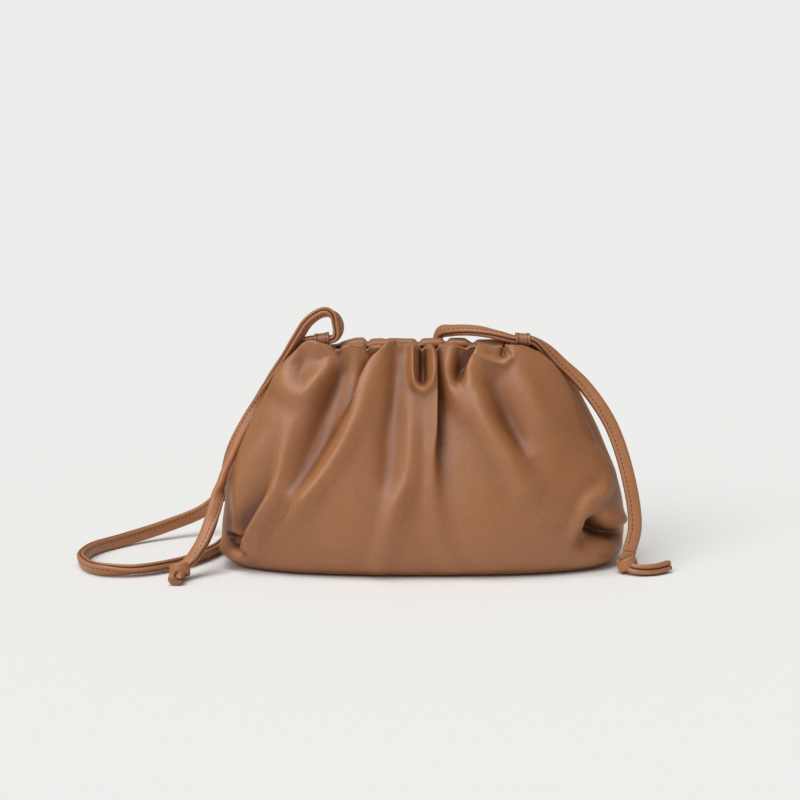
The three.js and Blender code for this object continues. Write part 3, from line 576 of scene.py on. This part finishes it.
BACK_FOLDS = [
    fold(8, 8, [(-0.44, 1, -5), (-0.52, 0.75, -7), (-0.6, 0.5, -3)]),
    fold(6, 6, [(-0.32, 1, 3), (-0.38, 0.72, 4), (-0.46, 0.45, 1.5)]),
    fold(8, 13, [(-0.2, 1, -7), (-0.24, 0.8, -9), (-0.31, 0.55, -5), (-0.36, 0.35, -1)], form="edge"),
    fold(6, 6, [(-0.09, 1, -4), (-0.1, 0.8, -5), (-0.12, 0.45, -2)]),
    fold(5, 5, [(0.18, 1, 3), (0.19, 0.78, 4), (0.22, 0.5, 1.5)]),
    fold(7, 7, [(0.27, 1, -5), (0.33, 0.75, -6), (0.41, 0.45, -2)]),
    fold(12, 8, [(0.41, 1, 6), (0.48, 0.8, 7), (0.56, 0.58, 4), (0.62, 0.4, 1)], over=2, form="edge"),
    fold(26, 22, [(-0.45, 0.24, 2.5), (0.45, 0.22, 2)]),
]
EDGE_RISE = 0.55  # share of an edge's step that its high side rises
EDGE_FALL = 1.5  # power of the fading away from an edge
LOW_SIDE_SLIDE = 0.6  # of the high side's slide
LINE_PARTS = 10  # straight pieces between two points of a fold's line


def table_curve(at, places, values):
    """Smooth curve through a table's rows, without overshoot."""
    widths = np.diff(places)
    slopes = np.diff(values) / widths
    tangents = np.zeros_like(values)
    before, after = slopes[:-1], slopes[1:]
    same = before * after > 0
    tangents[1:-1] = np.where(same, 2 * before * after / np.where(same, before + after, 1), 0)
    tangents[0], tangents[-1] = slopes[0], slopes[-1]
    row = np.clip(np.searchsorted(places, at, side="right") - 1, 0, len(places) - 2)
    t = (at - places[row]) / widths[row]
    return ((1 + 2 * t) * (1 - t) ** 2 * values[row] + t * (1 - t) ** 2 * widths[row] * tangents[row]
            + t * t * (3 - 2 * t) * values[row + 1] + t * t * (t - 1) * widths[row] * tangents[row + 1])


def section_size(column, heights):
    return table_curve(heights, SECTIONS[:, 0], SECTIONS[:, SECTION_COLUMNS.index(column)])


def form_points(angle, height):
    """Points of the pouch without folds, in millimetres."""
    square = section_size("square", height)
    cos, sin = np.cos(angle), np.sin(angle)
    reach = (np.abs(cos) ** square + np.abs(sin) ** square) ** (-1 / square)
    x = (section_size("width", height) * cos * reach + section_size("shift", height)) * BODY_WIDTH / 2
    y = section_size("depth", height) * sin * reach * BODY_DEPTH / 2
    return np.stack([x, y, height * BODY_HEIGHT], axis=-1)


def fold_effect(row, scale, across, up):
    """Height of one fold at places of its face, and its push sideways (across, up)."""
    points = np.array([(x * scale, z * BODY_HEIGHT, h, own[0] if own else row["sharp"])
                       for x, z, h, *own in row["line"]])
    line = centripetal(points, LINE_PARTS)
    nearest = np.full(across.shape, np.inf)
    side = np.ones(across.shape)
    height = np.zeros(across.shape)
    sharp = np.full(across.shape, row["sharp"])
    push = np.zeros(across.shape + (2,))
    for start, end in zip(line[:-1], line[1:]):
        run_x, run_z = end[0] - start[0], end[1] - start[1]
        long = run_x * run_x + run_z * run_z
        to_x, to_z = across - start[0], up - start[1]
        share = np.clip((to_x * run_x + to_z * run_z) / long, 0, 1)
        distance = np.hypot(to_x - share * run_x, to_z - share * run_z)
        closer = distance < nearest
        nearest = np.where(closer, distance, nearest)
        side = np.where(closer, np.where(run_x * to_z - run_z * to_x >= 0, 1.0, -1.0), side)
        height = np.where(closer, start[2] + (end[2] - start[2]) * share, height)
        sharp = np.where(closer, start[3] + (end[3] - start[3]) * share, sharp)
        push[closer] = (run_z / math.sqrt(long), -run_x / math.sqrt(long))
    left, right = row["left"], row["right"]
    width = np.where(side > 0, left, right)
    if row["form"] == "round":
        return height * np.exp(-(nearest / width) ** 2), None
    if row["form"] == "creased":
        return height * np.exp(-(np.hypot(nearest, sharp) - sharp) / width), None
    signed = side * nearest
    high = 0.5 + 0.5 * np.tanh(signed / sharp)
    left_fall = np.exp(-(nearest / left) ** EDGE_FALL)
    right_fall = np.exp(-(nearest / right) ** EDGE_FALL)
    relief = height * (EDGE_RISE * high * left_fall - (1 - EDGE_RISE) * (1 - high) * right_fall)
    strongest = max(abs(point[2]) for point in row["line"])
    sideways = high * left_fall - LOW_SIDE_SLIDE * (1 - high) * right_fall
    slide = row["over"] * (height / strongest) / np.maximum(sharp, 1) * sideways
    return relief, push * slide[..., None]


# The bars of the mouth, from their CAD nodes, in millimetres
bar_low, bar_high = (np.array(corner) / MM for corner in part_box("front_mouth_bar"))
BAR_OUTER_FACE = -bar_low[1]
BAR_LOW, BAR_HIGH = bar_low[2], bar_high[2]
BAR_MIDDLE, BAR_HALF = (bar_high[0] + bar_low[0]) / 2, (bar_high[0] - bar_low[0]) / 2
BAR_APPROACH = 9.0
CLEARANCE = 0.3
BAR_SOFTNESS = 1.6

# The gussets dip at the mouth, the left one a little behind the middle and with a narrower front side
GUSSET_DIP = 9.0
GUSSET_DIP_WIDTH = 5.6
LEFT_GUSSET_SHIFT = 2.0
LEFT_FRONT_DIP_SHARE = 0.72
DIP_FROM = 0.82  # share of the height

# Small ears of leather at the ends of the mouth: place across, place in depth, width and height
EARS = [(-68, -6.5, 3.2, 2.8), (67, 7, 3.2, 1.6), (66, -8, 3.5, -1.6)]
EAR_STRETCH = 2.2  # an ear is longer across than in depth
EAR_FROM = 0.88  # share of the height

# At the right end the front is narrower than the back, which shows behind it
RIGHT_FRONT_IN = 3.2
RIGHT_FRONT_DEPTHS = (1, 8)
RIGHT_BACK_OUT = 1.6
RIGHT_BACK_DEPTHS = (6, 14)
RIGHT_STEP = (0.42, 0.62, 0.86, 0.97)  # shares of the height: starts, is full, begins to fade, is gone

UPRIGHT_FROM = 0.75  # above this share of the height the folds go level out and in
BASE_FADE = 0.04  # the folds start above the base, over this share of the height
FACING = (-0.05, 0.4)  # the folds of the front and back fade where the surface turns to the ends
ENDS = (0.36, 0.58)  # shares of the half width over which the gussets take over
RIPPLES = ((26, 60, 0, 0.9), (9, 26, 7, 0.22))  # millimetres round and up, shift, and height

# The hem is folded inwards over the bars, up to this far from the middle plane, and ends before the keepers
HEM_REACH = 0.5
HEM_FROM_ENDS = (3.5, 9.0)
HEM_FRONT_DROP = 1.3  # the front hem is lower than the back one
HEM_UNDERSIDE = 0.35  # above the bars
HEM_ON_FACE = (0.3, 0.8)  # the hem fades where the edge turns to the ends
HEM_TURN = (-3, 3)  # depths over which the front hem gives way to the back one
HEM_ROUNDING = 0.55  # of the wall, from the edge's outer side up to its top
HEM_INNER_TOP = 0.6  # of the wall, below the edge
# The hem's rings over its top: (share of the way inwards, share of the rounding)
HEM_RINGS = ((0.04, 0.5), (0.14, 0.85), (0.32, 1), (0.6, 0.95), (0.82, 0.75), (0.96, 0.35))

# How the front hem and the back hem rise and fall: (share of the half width, millimetres)
FRONT_HEM = np.array([
    (-1, 0), (-0.58, 0.2), (-0.54, 0.8), (-0.48, 0.7), (-0.455, -0.1), (-0.43, -3.6), (-0.405, -0.5),
    (-0.36, 1), (-0.3, 0.8), (-0.283, -2.2), (-0.262, 0.2), (-0.22, 0.9), (-0.2, 0.4), (-0.175, 2.4),
    (-0.15, 2.6), (-0.135, 0.2), (-0.1, -0.4), (-0.06, 0.9), (-0.045, 0.7), (-0.014, -3), (0.018, 0.7),
    (0.032, 0.9), (0.046, -0.5), (0.055, -3.2), (0.072, 0.2), (0.135, 1), (0.2, -1.8), (0.225, 0.2),
    (0.262, 1), (0.33, -0.4), (0.378, -0.2), (0.388, -3.2), (0.4, 0.4), (0.45, 0.8), (0.55, 1.2),
    (0.6, 0.4), (1, -0.6),
])
BACK_HEM = np.array([
    (-1, 0), (-0.47, 0), (-0.42, -1), (-0.34, 0.5), (-0.3, 0.5), (-0.28, -2.2), (-0.26, 0), (-0.19, 0.3),
    (-0.17, 0.9), (-0.09, 0.6), (-0.05, 0.6), (-0.03, -2.2), (-0.01, 0.5), (0.085, 0.8), (0.105, -2),
    (0.125, 0.6), (0.2, 0.4), (0.24, -2.2), (0.26, 0), (0.36, 0.2), (0.42, 0.6), (0.46, -0.8), (1, 0),
])
HEM_FROM = 0.93  # the rise and fall starts at this share of the height

FRONT_COLUMNS = 330
SIDE_COLUMNS = 44
BACK_COLUMNS = 130
CENTRE_CROWDING = 0.3
CORNER_ANGLE = math.radians(40)
# Rows of points up the pouch: (share of the height where they start, where they end, how many)
ROW_STRETCHES = ((0, 0.05, 9), (0.05, 0.86, 96), (0.86, 1.0, 29))
INNER_ROW_STEP = 6  # the inner surface has one row for so many of the outer one
LOWEST_INNER_ROW = 9
FLOOR_SHARE = 0.97  # of the inner surface's lowest row

# Painted shade: hollows are painted darker, and ridges lighter as a painted highlight, than what lies so many
# columns and rows away
SHADE_COLUMNS = (-14, -8, 8, 14)
SHADE_ROWS = (-7, -4, 4, 7)
SHADE_OF_ROWS = 0.8
BACK_SHADE = 0.4  # the back's columns lie farther apart
FULL_SHADE = 10.0  # millimetres of height from the darkest shade to the lightest
# The hem is painted a little lighter, a painted highlight, and the inside of the pouch is painted darker, a
# painted shade
HEM_PAINTED_HIGHLIGHT = 0.66
INNER_PAINTED_SHADE = 0.35


def column_angles():
    spread, rise = 1 / math.tan(CORNER_ANGLE), math.tan(CORNER_ANGLE)
    s = np.linspace(-1, 1, FRONT_COLUMNS, endpoint=False)
    front = np.arctan2(-1, spread * s * (1 - CENTRE_CROWDING + CENTRE_CROWDING * s * s))
    right = np.arctan(rise * np.linspace(-1, 1, SIDE_COLUMNS, endpoint=False))
    back = np.arctan2(1, spread * np.linspace(1, -1, BACK_COLUMNS, endpoint=False))
    left = math.pi - np.arctan(rise * np.linspace(1, -1, SIDE_COLUMNS, endpoint=False))
    return np.concatenate([front, right, back, left])


def small_creases(points):
    """Long shallow ripples of the leather, which follow the gathers, in millimetres."""
    ripple = np.empty(len(points))
    for k, (x, y, z) in enumerate(points):
        ripple[k] = sum(noise.noise(Vector((x / size + shift, y / size, z / tall))) * rise
                        for size, tall, shift, rise in RIPPLES)
    return ripple


def form_directions(form, height):
    """Outward directions, level near the mouth, and directions up, over the whole form."""
    round_way = np.roll(form, -1, axis=1) - np.roll(form, 1, axis=1)
    up_way = np.gradient(form, axis=0)
    normal = unit(np.cross(round_way, up_way))
    normal[..., 2] *= 1 - smoothstep(height, UPRIGHT_FROM, 1)
    return unit(normal), unit(up_way)


def fold_fields(form, normal):
    """Height of all folds over the form, their push (across, up) and the tuck of the gussets."""
    x, y, z = form[..., 0], form[..., 1], form[..., 2]
    relief = np.zeros(x.shape)
    slide = np.zeros(x.shape + (2,))
    tuck = np.zeros(x.shape)
    for folds, mask in ((FRONT_FOLDS, normal[..., 1] < 0), (BACK_FOLDS, normal[..., 1] >= 0)):
        for row in folds:
            rise, push = fold_effect(row, BODY_WIDTH / 2, x[mask], z[mask])
            relief[mask] += rise
            if push is not None:
                slide[mask] += push
    for folds, mask in ((LEFT_GUSSET_FOLDS, x < 0), (RIGHT_GUSSET_FOLDS, x >= 0)):
        for row in folds:
            tuck[mask] += fold_effect(row, BODY_DEPTH / 2, y[mask], z[mask])[0]
    return relief, slide, tuck


def step_right_end(points, height, reach):
    """Draws the front in at the right end and lets the back out."""
    low, full, fading, gone = RIGHT_STEP
    step = smoothstep(height, low, full) * (1 - smoothstep(height, fading, gone)) * reach
    step *= points[..., 0] > 0
    points[..., 0] -= RIGHT_FRONT_IN * step * smoothstep(-points[..., 1], *RIGHT_FRONT_DEPTHS)
    points[..., 0] += RIGHT_BACK_OUT * step * smoothstep(points[..., 1], *RIGHT_BACK_DEPTHS)


def gusset_drop(points, height, reach):
    """How far the gussets dip at the mouth."""
    at_left = points[..., 0] < 0
    middle = np.where(at_left, LEFT_GUSSET_SHIFT, 0)
    narrow = np.where(at_left & (points[..., 1] < middle), LEFT_FRONT_DIP_SHARE, 1.0)
    dip = GUSSET_DIP * np.exp(-((points[..., 1] - middle) / (narrow * GUSSET_DIP_WIDTH)) ** 2)
    return dip * reach * smoothstep(height, DIP_FROM, 1)


def shape_mouth(points, height, on_face):
    """Makes the hems rise and fall, and adds the ears at the ends."""
    mouth = points[-1].copy()
    share_across = mouth[:, 0] / (BODY_WIDTH / 2)
    in_front = smoothstep(-mouth[:, 1], *HEM_TURN)
    wave = (np.interp(share_across, FRONT_HEM[:, 0], FRONT_HEM[:, 1]) - HEM_FRONT_DROP) * in_front
    wave += np.interp(share_across, BACK_HEM[:, 0], BACK_HEM[:, 1]) * (1 - in_front)
    for ear_x, ear_y, ear_width, ear_height in EARS:
        off = np.hypot((mouth[:, 0] - ear_x) / EAR_STRETCH, mouth[:, 1] - ear_y) / ear_width
        points[..., 2] += ear_height * np.exp(-off ** 2) * smoothstep(height, EAR_FROM, 1)
    points[..., 2] += wave * on_face * smoothstep(height, HEM_FROM, 1)


def clear_bars(points, normal):
    """Keeps the leather clear of the bars, with a soft change to where it is free."""
    beyond = np.abs(points[..., 0] - BAR_MIDDLE) - BAR_HALF - LEATHER_WALL
    share = 1 - smoothstep(beyond, 0, BAR_APPROACH)
    share *= smoothstep(points[..., 2], BAR_LOW - BAR_APPROACH, BAR_LOW - 1)
    least = BAR_OUTER_FACE + CLEARANCE + LEATHER_WALL
    side = np.sign(normal[..., 1])
    off = points[..., 1] * side - least
    cleared = side * (least + 0.5 * (off + np.sqrt(off ** 2 + BAR_SOFTNESS ** 2)))
    points[..., 1] += (cleared - points[..., 1]) * share


def hem_rings(edge, inward, on_face):
    """Rings of the hem: folded inwards over the bars in the middle, a round edge near the ends."""
    along = np.abs(edge[:, 0] - BAR_MIDDLE)
    over_bars = (1 - smoothstep(along, BAR_HALF - HEM_FROM_ENDS[1], BAR_HALF - HEM_FROM_ENDS[0])) * on_face
    wide = np.maximum(np.abs(edge[:, 1]) - HEM_REACH, LEATHER_WALL)
    reach_in = over_bars * wide + (1 - over_bars) * LEATHER_WALL
    bars_top = BAR_HIGH + HEM_UNDERSIDE
    low_side = (over_bars * bars_top
                + (1 - over_bars) * np.maximum(edge[:, 2] - LEATHER_WALL * 0.5, bars_top))
    top = edge[:, 2] - HEM_INNER_TOP * LEATHER_WALL
    under = np.minimum(low_side, top)
    rings = []
    for share, rise in HEM_RINGS:
        ring = edge + inward * (reach_in * share)[:, None]
        ring[:, 2] = edge[:, 2] + (rise - 1) * LEATHER_WALL * HEM_ROUNDING
        rings.append(ring)
    for share, along_wall in ((1.0, 0.3), (0.97, 0.0)):
        ring = edge + inward * (reach_in * share)[:, None]
        ring[:, 2] = top * along_wall + under * (1 - along_wall)
        rings.append(ring)
    last = edge + inward * (LEATHER_WALL + 0.05)
    last[:, 2] = under
    return rings + [last]


def smaller_ring(ring, share, middle=0.0):
    """A ring drawn in towards a place on the X axis."""
    return np.stack([ring[:, 0] * share + middle * (1 - share), ring[:, 1] * share, ring[:, 2]], axis=-1)


def painted_relief_shades(relief, at_back):
    """Painted shade and painted highlight, one a point, from how far it lies above or below the leather
    around it.
    """
    rows = np.arange(len(relief))
    above_and_below = [relief[np.clip(rows + shift, 0, len(rows) - 1)] for shift in SHADE_ROWS]
    deep = relief - np.mean([np.roll(relief, shift, axis=1) for shift in SHADE_COLUMNS], axis=0)
    deep += SHADE_OF_ROWS * (relief - np.mean(above_and_below, axis=0))
    deep *= np.where(at_back, BACK_SHADE, 1)
    return np.clip(PLAIN_SHADE + deep / FULL_SHADE, 0, 1)


def make_pouch():
    angles = column_angles()
    heights = np.concatenate([np.linspace(*stretch, endpoint=False) for stretch in ROW_STRETCHES] + [[1.0]])
    angle, height = np.meshgrid(angles, heights)
    form = form_points(angle, height)
    normal, up_way = form_directions(form, height)
    on_face = smoothstep(np.abs(normal[-1, :, 1]), *HEM_ON_FACE)

    # outer surface
    fade = smoothstep(height, 0, BASE_FADE)
    facing = smoothstep(np.abs(normal[..., 1]), *FACING)
    relief, slide, tuck = fold_fields(form, normal)
    relief *= facing * fade
    slide *= (facing * fade)[..., None]
    ripple = small_creases(form.reshape(-1, 3)).reshape(height.shape) * fade
    points = form + normal * (relief + ripple)[..., None]
    points[..., 0] += slide[..., 0]
    points += up_way * slide[..., 1:2]
    reach = smoothstep(np.abs(points[..., 0]) / (BODY_WIDTH / 2), *ENDS)
    points[..., 0] += np.sign(points[..., 0]) * tuck * fade * reach
    step_right_end(points, height, reach)
    drop = gusset_drop(points, height, reach)
    points[..., 2] = np.maximum(points[..., 2] - drop, 0)
    shape_mouth(points, height, on_face)
    clear_bars(points, normal)

    # the inner surface stays below the lowest leather around it, so that it shows nowhere outside
    low_relief = relief + ripple
    for shift in (1, 2, 3, 4):
        low_relief = np.minimum(low_relief, np.minimum(np.roll(relief, shift, axis=1),
                                                       np.roll(relief, -shift, axis=1)))
    inner_rows = np.concatenate([np.arange(len(heights) - 1, LOWEST_INNER_ROW + 3, -INNER_ROW_STEP),
                                 [LOWEST_INNER_ROW]])
    inner = (form + normal * (low_relief - LEATHER_WALL)[..., None])[inner_rows]
    inner[..., 0] += np.sign(inner[..., 0]) * (tuck * fade * reach)[inner_rows]
    inner[..., 2] -= drop[inner_rows]
    inner[0] = points[-1] - normal[-1] * LEATHER_WALL
    inner_floor = inner[-1] * (FLOOR_SHARE, FLOOR_SHARE, 1)
    inner_floor[:, 2] = LEATHER_WALL
    inner[..., 2] = np.maximum(inner[..., 2], LEATHER_WALL)

    hem = hem_rings(points[-1].copy(), -normal[-1], on_face)
    points[-1, :, 2] -= LEATHER_WALL * HEM_ROUNDING
    inner[0, :, 2] = np.minimum(inner[0, :, 2], hem[-1][:, 2] - 0.3)
    base_middle = SECTIONS[0, SECTION_COLUMNS.index("shift")] * BODY_WIDTH / 2
    base = [smaller_ring(points[0], share, base_middle) for share in (0.1, 0.6, 0.97)]
    floor = [smaller_ring(inner_floor, share) for share in (1.0, 0.5, 0.1)]
    rings = base + list(points) + hem + list(inner) + floor

    columns = len(angles)
    # painted shade a ring: plain at the base, painted from the relief on the outside, painted highlight on
    # the hem, painted shade inside
    shades = [np.full(columns, PLAIN_SHADE)] * len(base)
    shades += list(painted_relief_shades(relief, normal[..., 1] >= 0))
    shades += [np.full(columns, HEM_PAINTED_HIGHLIGHT)] * len(hem)
    shades += [np.full(columns, INNER_PAINTED_SHADE)] * (len(inner) + len(floor))
    return add_mesh("pouch", np.concatenate(rings) * MM, ring_faces(len(rings), columns, ("first", "last")),
                    BODY_LEATHER, np.concatenate(shades))


pouch = make_pouch()
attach(pouch, "root")
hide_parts("pouch_body")


# The bars of the mouth, covered in leather

BAR_ROUNDING = 0.8  # of the half thickness, at the edges


def make_bar(name, node):
    low, high = (np.array(corner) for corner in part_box(node))
    middle, half = (low + high) / 2, (high - low) / 2
    outline = []
    radius = half[2]
    for end, first_turn in ((1, -90), (-1, 90)):
        for turn in np.radians(np.linspace(first_turn, first_turn + 180, 13)):
            outline.append((end * (half[0] - radius) + radius * math.cos(turn), radius * math.sin(turn)))
    outline = np.array(outline)
    rings = []
    for turn in np.radians([-90, -60, -30, 0, 30, 60, 90]):
        inset = half[1] * BAR_ROUNDING * (1 - math.cos(turn))
        y = half[1] * math.sin(turn)
        shrunk = outline * (1 - inset / np.array([half[0], radius]))
        rings.append(np.stack([shrunk[:, 0] + middle[0], np.full(len(shrunk), y + middle[1]),
                               shrunk[:, 1] + middle[2]], axis=-1))
    faces = [face[::-1] for face in ring_faces(len(rings), len(outline), ("first", "last"))]
    bar = add_mesh(name, np.concatenate(rings), faces, BAR_LEATHER)
    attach(bar, "root")
    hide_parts(node)


make_bar("front_bar", "front_mouth_bar")
make_bar("back_bar", "back_mouth_bar")


# Keepers: leather wrapped round the strap, with raised edges, two lines of stitches and a tab below

KEEPER_LENGTH = 0.0088
KEEPER_HALF_WIDTH = 0.0052
KEEPER_HALF_HEIGHT = 0.0039
KEEPER_SQUARENESS = 2.6
# From one end to the other: (share of the length, share of the half sizes), outside and inside
KEEPER_OUTSIDE = [(0, 0.9), (0.02, 0.98), (0.08, 1), (0.16, 0.95), (0.3, 0.93), (0.5, 0.92), (0.7, 0.93),
                  (0.84, 0.95), (0.92, 1), (0.98, 0.98), (1, 0.9)]
KEEPER_INSIDE = [(1, 0.8), (0.5, 0.78), (0, 0.8)]
TAB_LENGTH = 0.0065
TAB_HALF_THICKNESS = 0.0018
KEEPER_STITCH_LINES = (0.2, 0.8)  # of the length
KEEPER_STITCH_OUT = 0.945  # share of the half sizes
KEEPER_STITCH = (0.0012, 0.0005, 0.0005)
KEEPER_STITCH_STEP = 20  # degrees


def keeper_reach(cos, sin):
    """How far the keeper's rounded section reaches in one direction, as a share of its half sizes."""
    return (abs(cos) ** KEEPER_SQUARENESS + abs(sin) ** KEEPER_SQUARENESS) ** (-1 / KEEPER_SQUARENESS)


def make_keeper(name, node, inward, tilt):
    """One keeper with its stitches. inward is 1 at the left and -1 at the right, tilt is in degrees."""
    low, high = (np.array(corner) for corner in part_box(node))
    bore_middle = high[2] - (high[1] - low[1]) / 2
    start = low[0] if inward > 0 else high[0] - KEEPER_LENGTH
    slope = math.tan(math.radians(tilt))
    profile = []
    for turn in np.radians(np.arange(0, 360, 15)):
        cos, sin = math.cos(turn), math.sin(turn)
        reach = keeper_reach(cos, sin)
        profile.append((cos * reach, sin * reach))
    profile = np.array(profile)
    rings = []
    for share, size in KEEPER_OUTSIDE + KEEPER_INSIDE:
        rings.append(np.stack([np.full(len(profile), start + share * KEEPER_LENGTH),
                               profile[:, 0] * KEEPER_HALF_WIDTH * size,
                               profile[:, 1] * KEEPER_HALF_HEIGHT * size + bore_middle], axis=-1))
    columns = len(profile)
    last = (len(rings) - 1) * columns
    faces = ring_faces(len(rings), columns)
    faces += [(last + c, last + (c + 1) % columns, (c + 1) % columns, c) for c in range(columns)]
    faces = [face[::-1] for face in faces]
    points = np.concatenate(rings)
    points[:, 2] += (points[:, 0] - start - KEEPER_LENGTH / 2) * slope

    # the tab that goes down between the bars
    tab_near = low[0] if inward < 0 else high[0] - TAB_LENGTH
    tab = [(tab_near + a * TAB_LENGTH, b * TAB_HALF_THICKNESS, c)
           for c in (low[2], bore_middle - KEEPER_HALF_HEIGHT * 0.9)
           for a, b in ((0, -1), (1, -1), (1, 1), (0, 1))]
    base = len(points)
    points = np.concatenate([points, np.array(tab)])
    faces += [tuple(base + i for i in face) for face in
              ((0, 3, 2, 1), (4, 5, 6, 7), (0, 1, 5, 4), (1, 2, 6, 5), (2, 3, 7, 6), (3, 0, 4, 7))]
    keeper = add_mesh(name, points, faces, KEEPER_LEATHER)

    beads = []
    for share in KEEPER_STITCH_LINES:
        for turn in np.radians(np.arange(0, 360, KEEPER_STITCH_STEP)):
            cos, sin = math.cos(turn), math.sin(turn)
            reach = keeper_reach(cos, sin) * KEEPER_STITCH_OUT
            rise = (share - 0.5) * KEEPER_LENGTH * slope
            centre = (start + share * KEEPER_LENGTH, cos * reach * KEEPER_HALF_WIDTH,
                      sin * reach * KEEPER_HALF_HEIGHT + bore_middle + rise)
            beads.append((centre, (0, -sin, cos), (1, 0, 0), (0, cos, sin)))
    stitches = bead_row(name + "_stitches", *np.moveaxis(np.array(beads), 1, 0), *KEEPER_STITCH, THREAD_PAINTED_DARK)
    for piece in (keeper, stitches):
        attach(piece, "root")
    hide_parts(node)


make_keeper("left_strap_keeper", "left_keeper", inward=1, tilt=8)
make_keeper("right_strap_keeper", "right_keeper", inward=-1, tilt=-3)


# Floor, light and background

FLOOR_REACH = 4000.0
BACKGROUND = (0.845, 0.845, 0.832)
WORLD_STRENGTH = 0.36
# Two wide soft suns: name, direction of their light, strength and width in degrees
SUNS = [("key_sun", (0.18, 0.16, -0.97), 1.57, 40), ("front_sun", (0.54, 0.58, -0.61), 1.15, 36)]


def make_stage():
    material, _, shader = new_material("pale_floor", BACKGROUND, 0.95)
    shader.inputs["Specular IOR Level"].default_value = 0.05
    corners = [(x * FLOOR_REACH, y * FLOOR_REACH, 0) for x, y in ((-1, -1), (1, -1), (1, 1), (-1, 1))]
    floor = add_mesh("floor", corners, [(0, 1, 2, 3)], material)
    world = bpy.data.worlds.new("studio")
    bpy.context.scene.world = world
    world.use_nodes = True
    world.node_tree.nodes["Background"].inputs["Color"].default_value = (*BACKGROUND, 1)
    world.node_tree.nodes["Background"].inputs["Strength"].default_value = WORLD_STRENGTH


def add_sun(name, towards, strength, angle):
    data = bpy.data.lights.new(name, "SUN")
    data.energy = strength
    data.angle = math.radians(angle)
    light = bpy.data.objects.new(name, data)
    light.rotation_euler = Vector(towards).to_track_quat("-Z", "Y").to_euler()
    bpy.context.collection.objects.link(light)


make_stage()
for sun in SUNS:
    add_sun(*sun)

bpy.context.scene.view_settings.view_transform = "Standard"
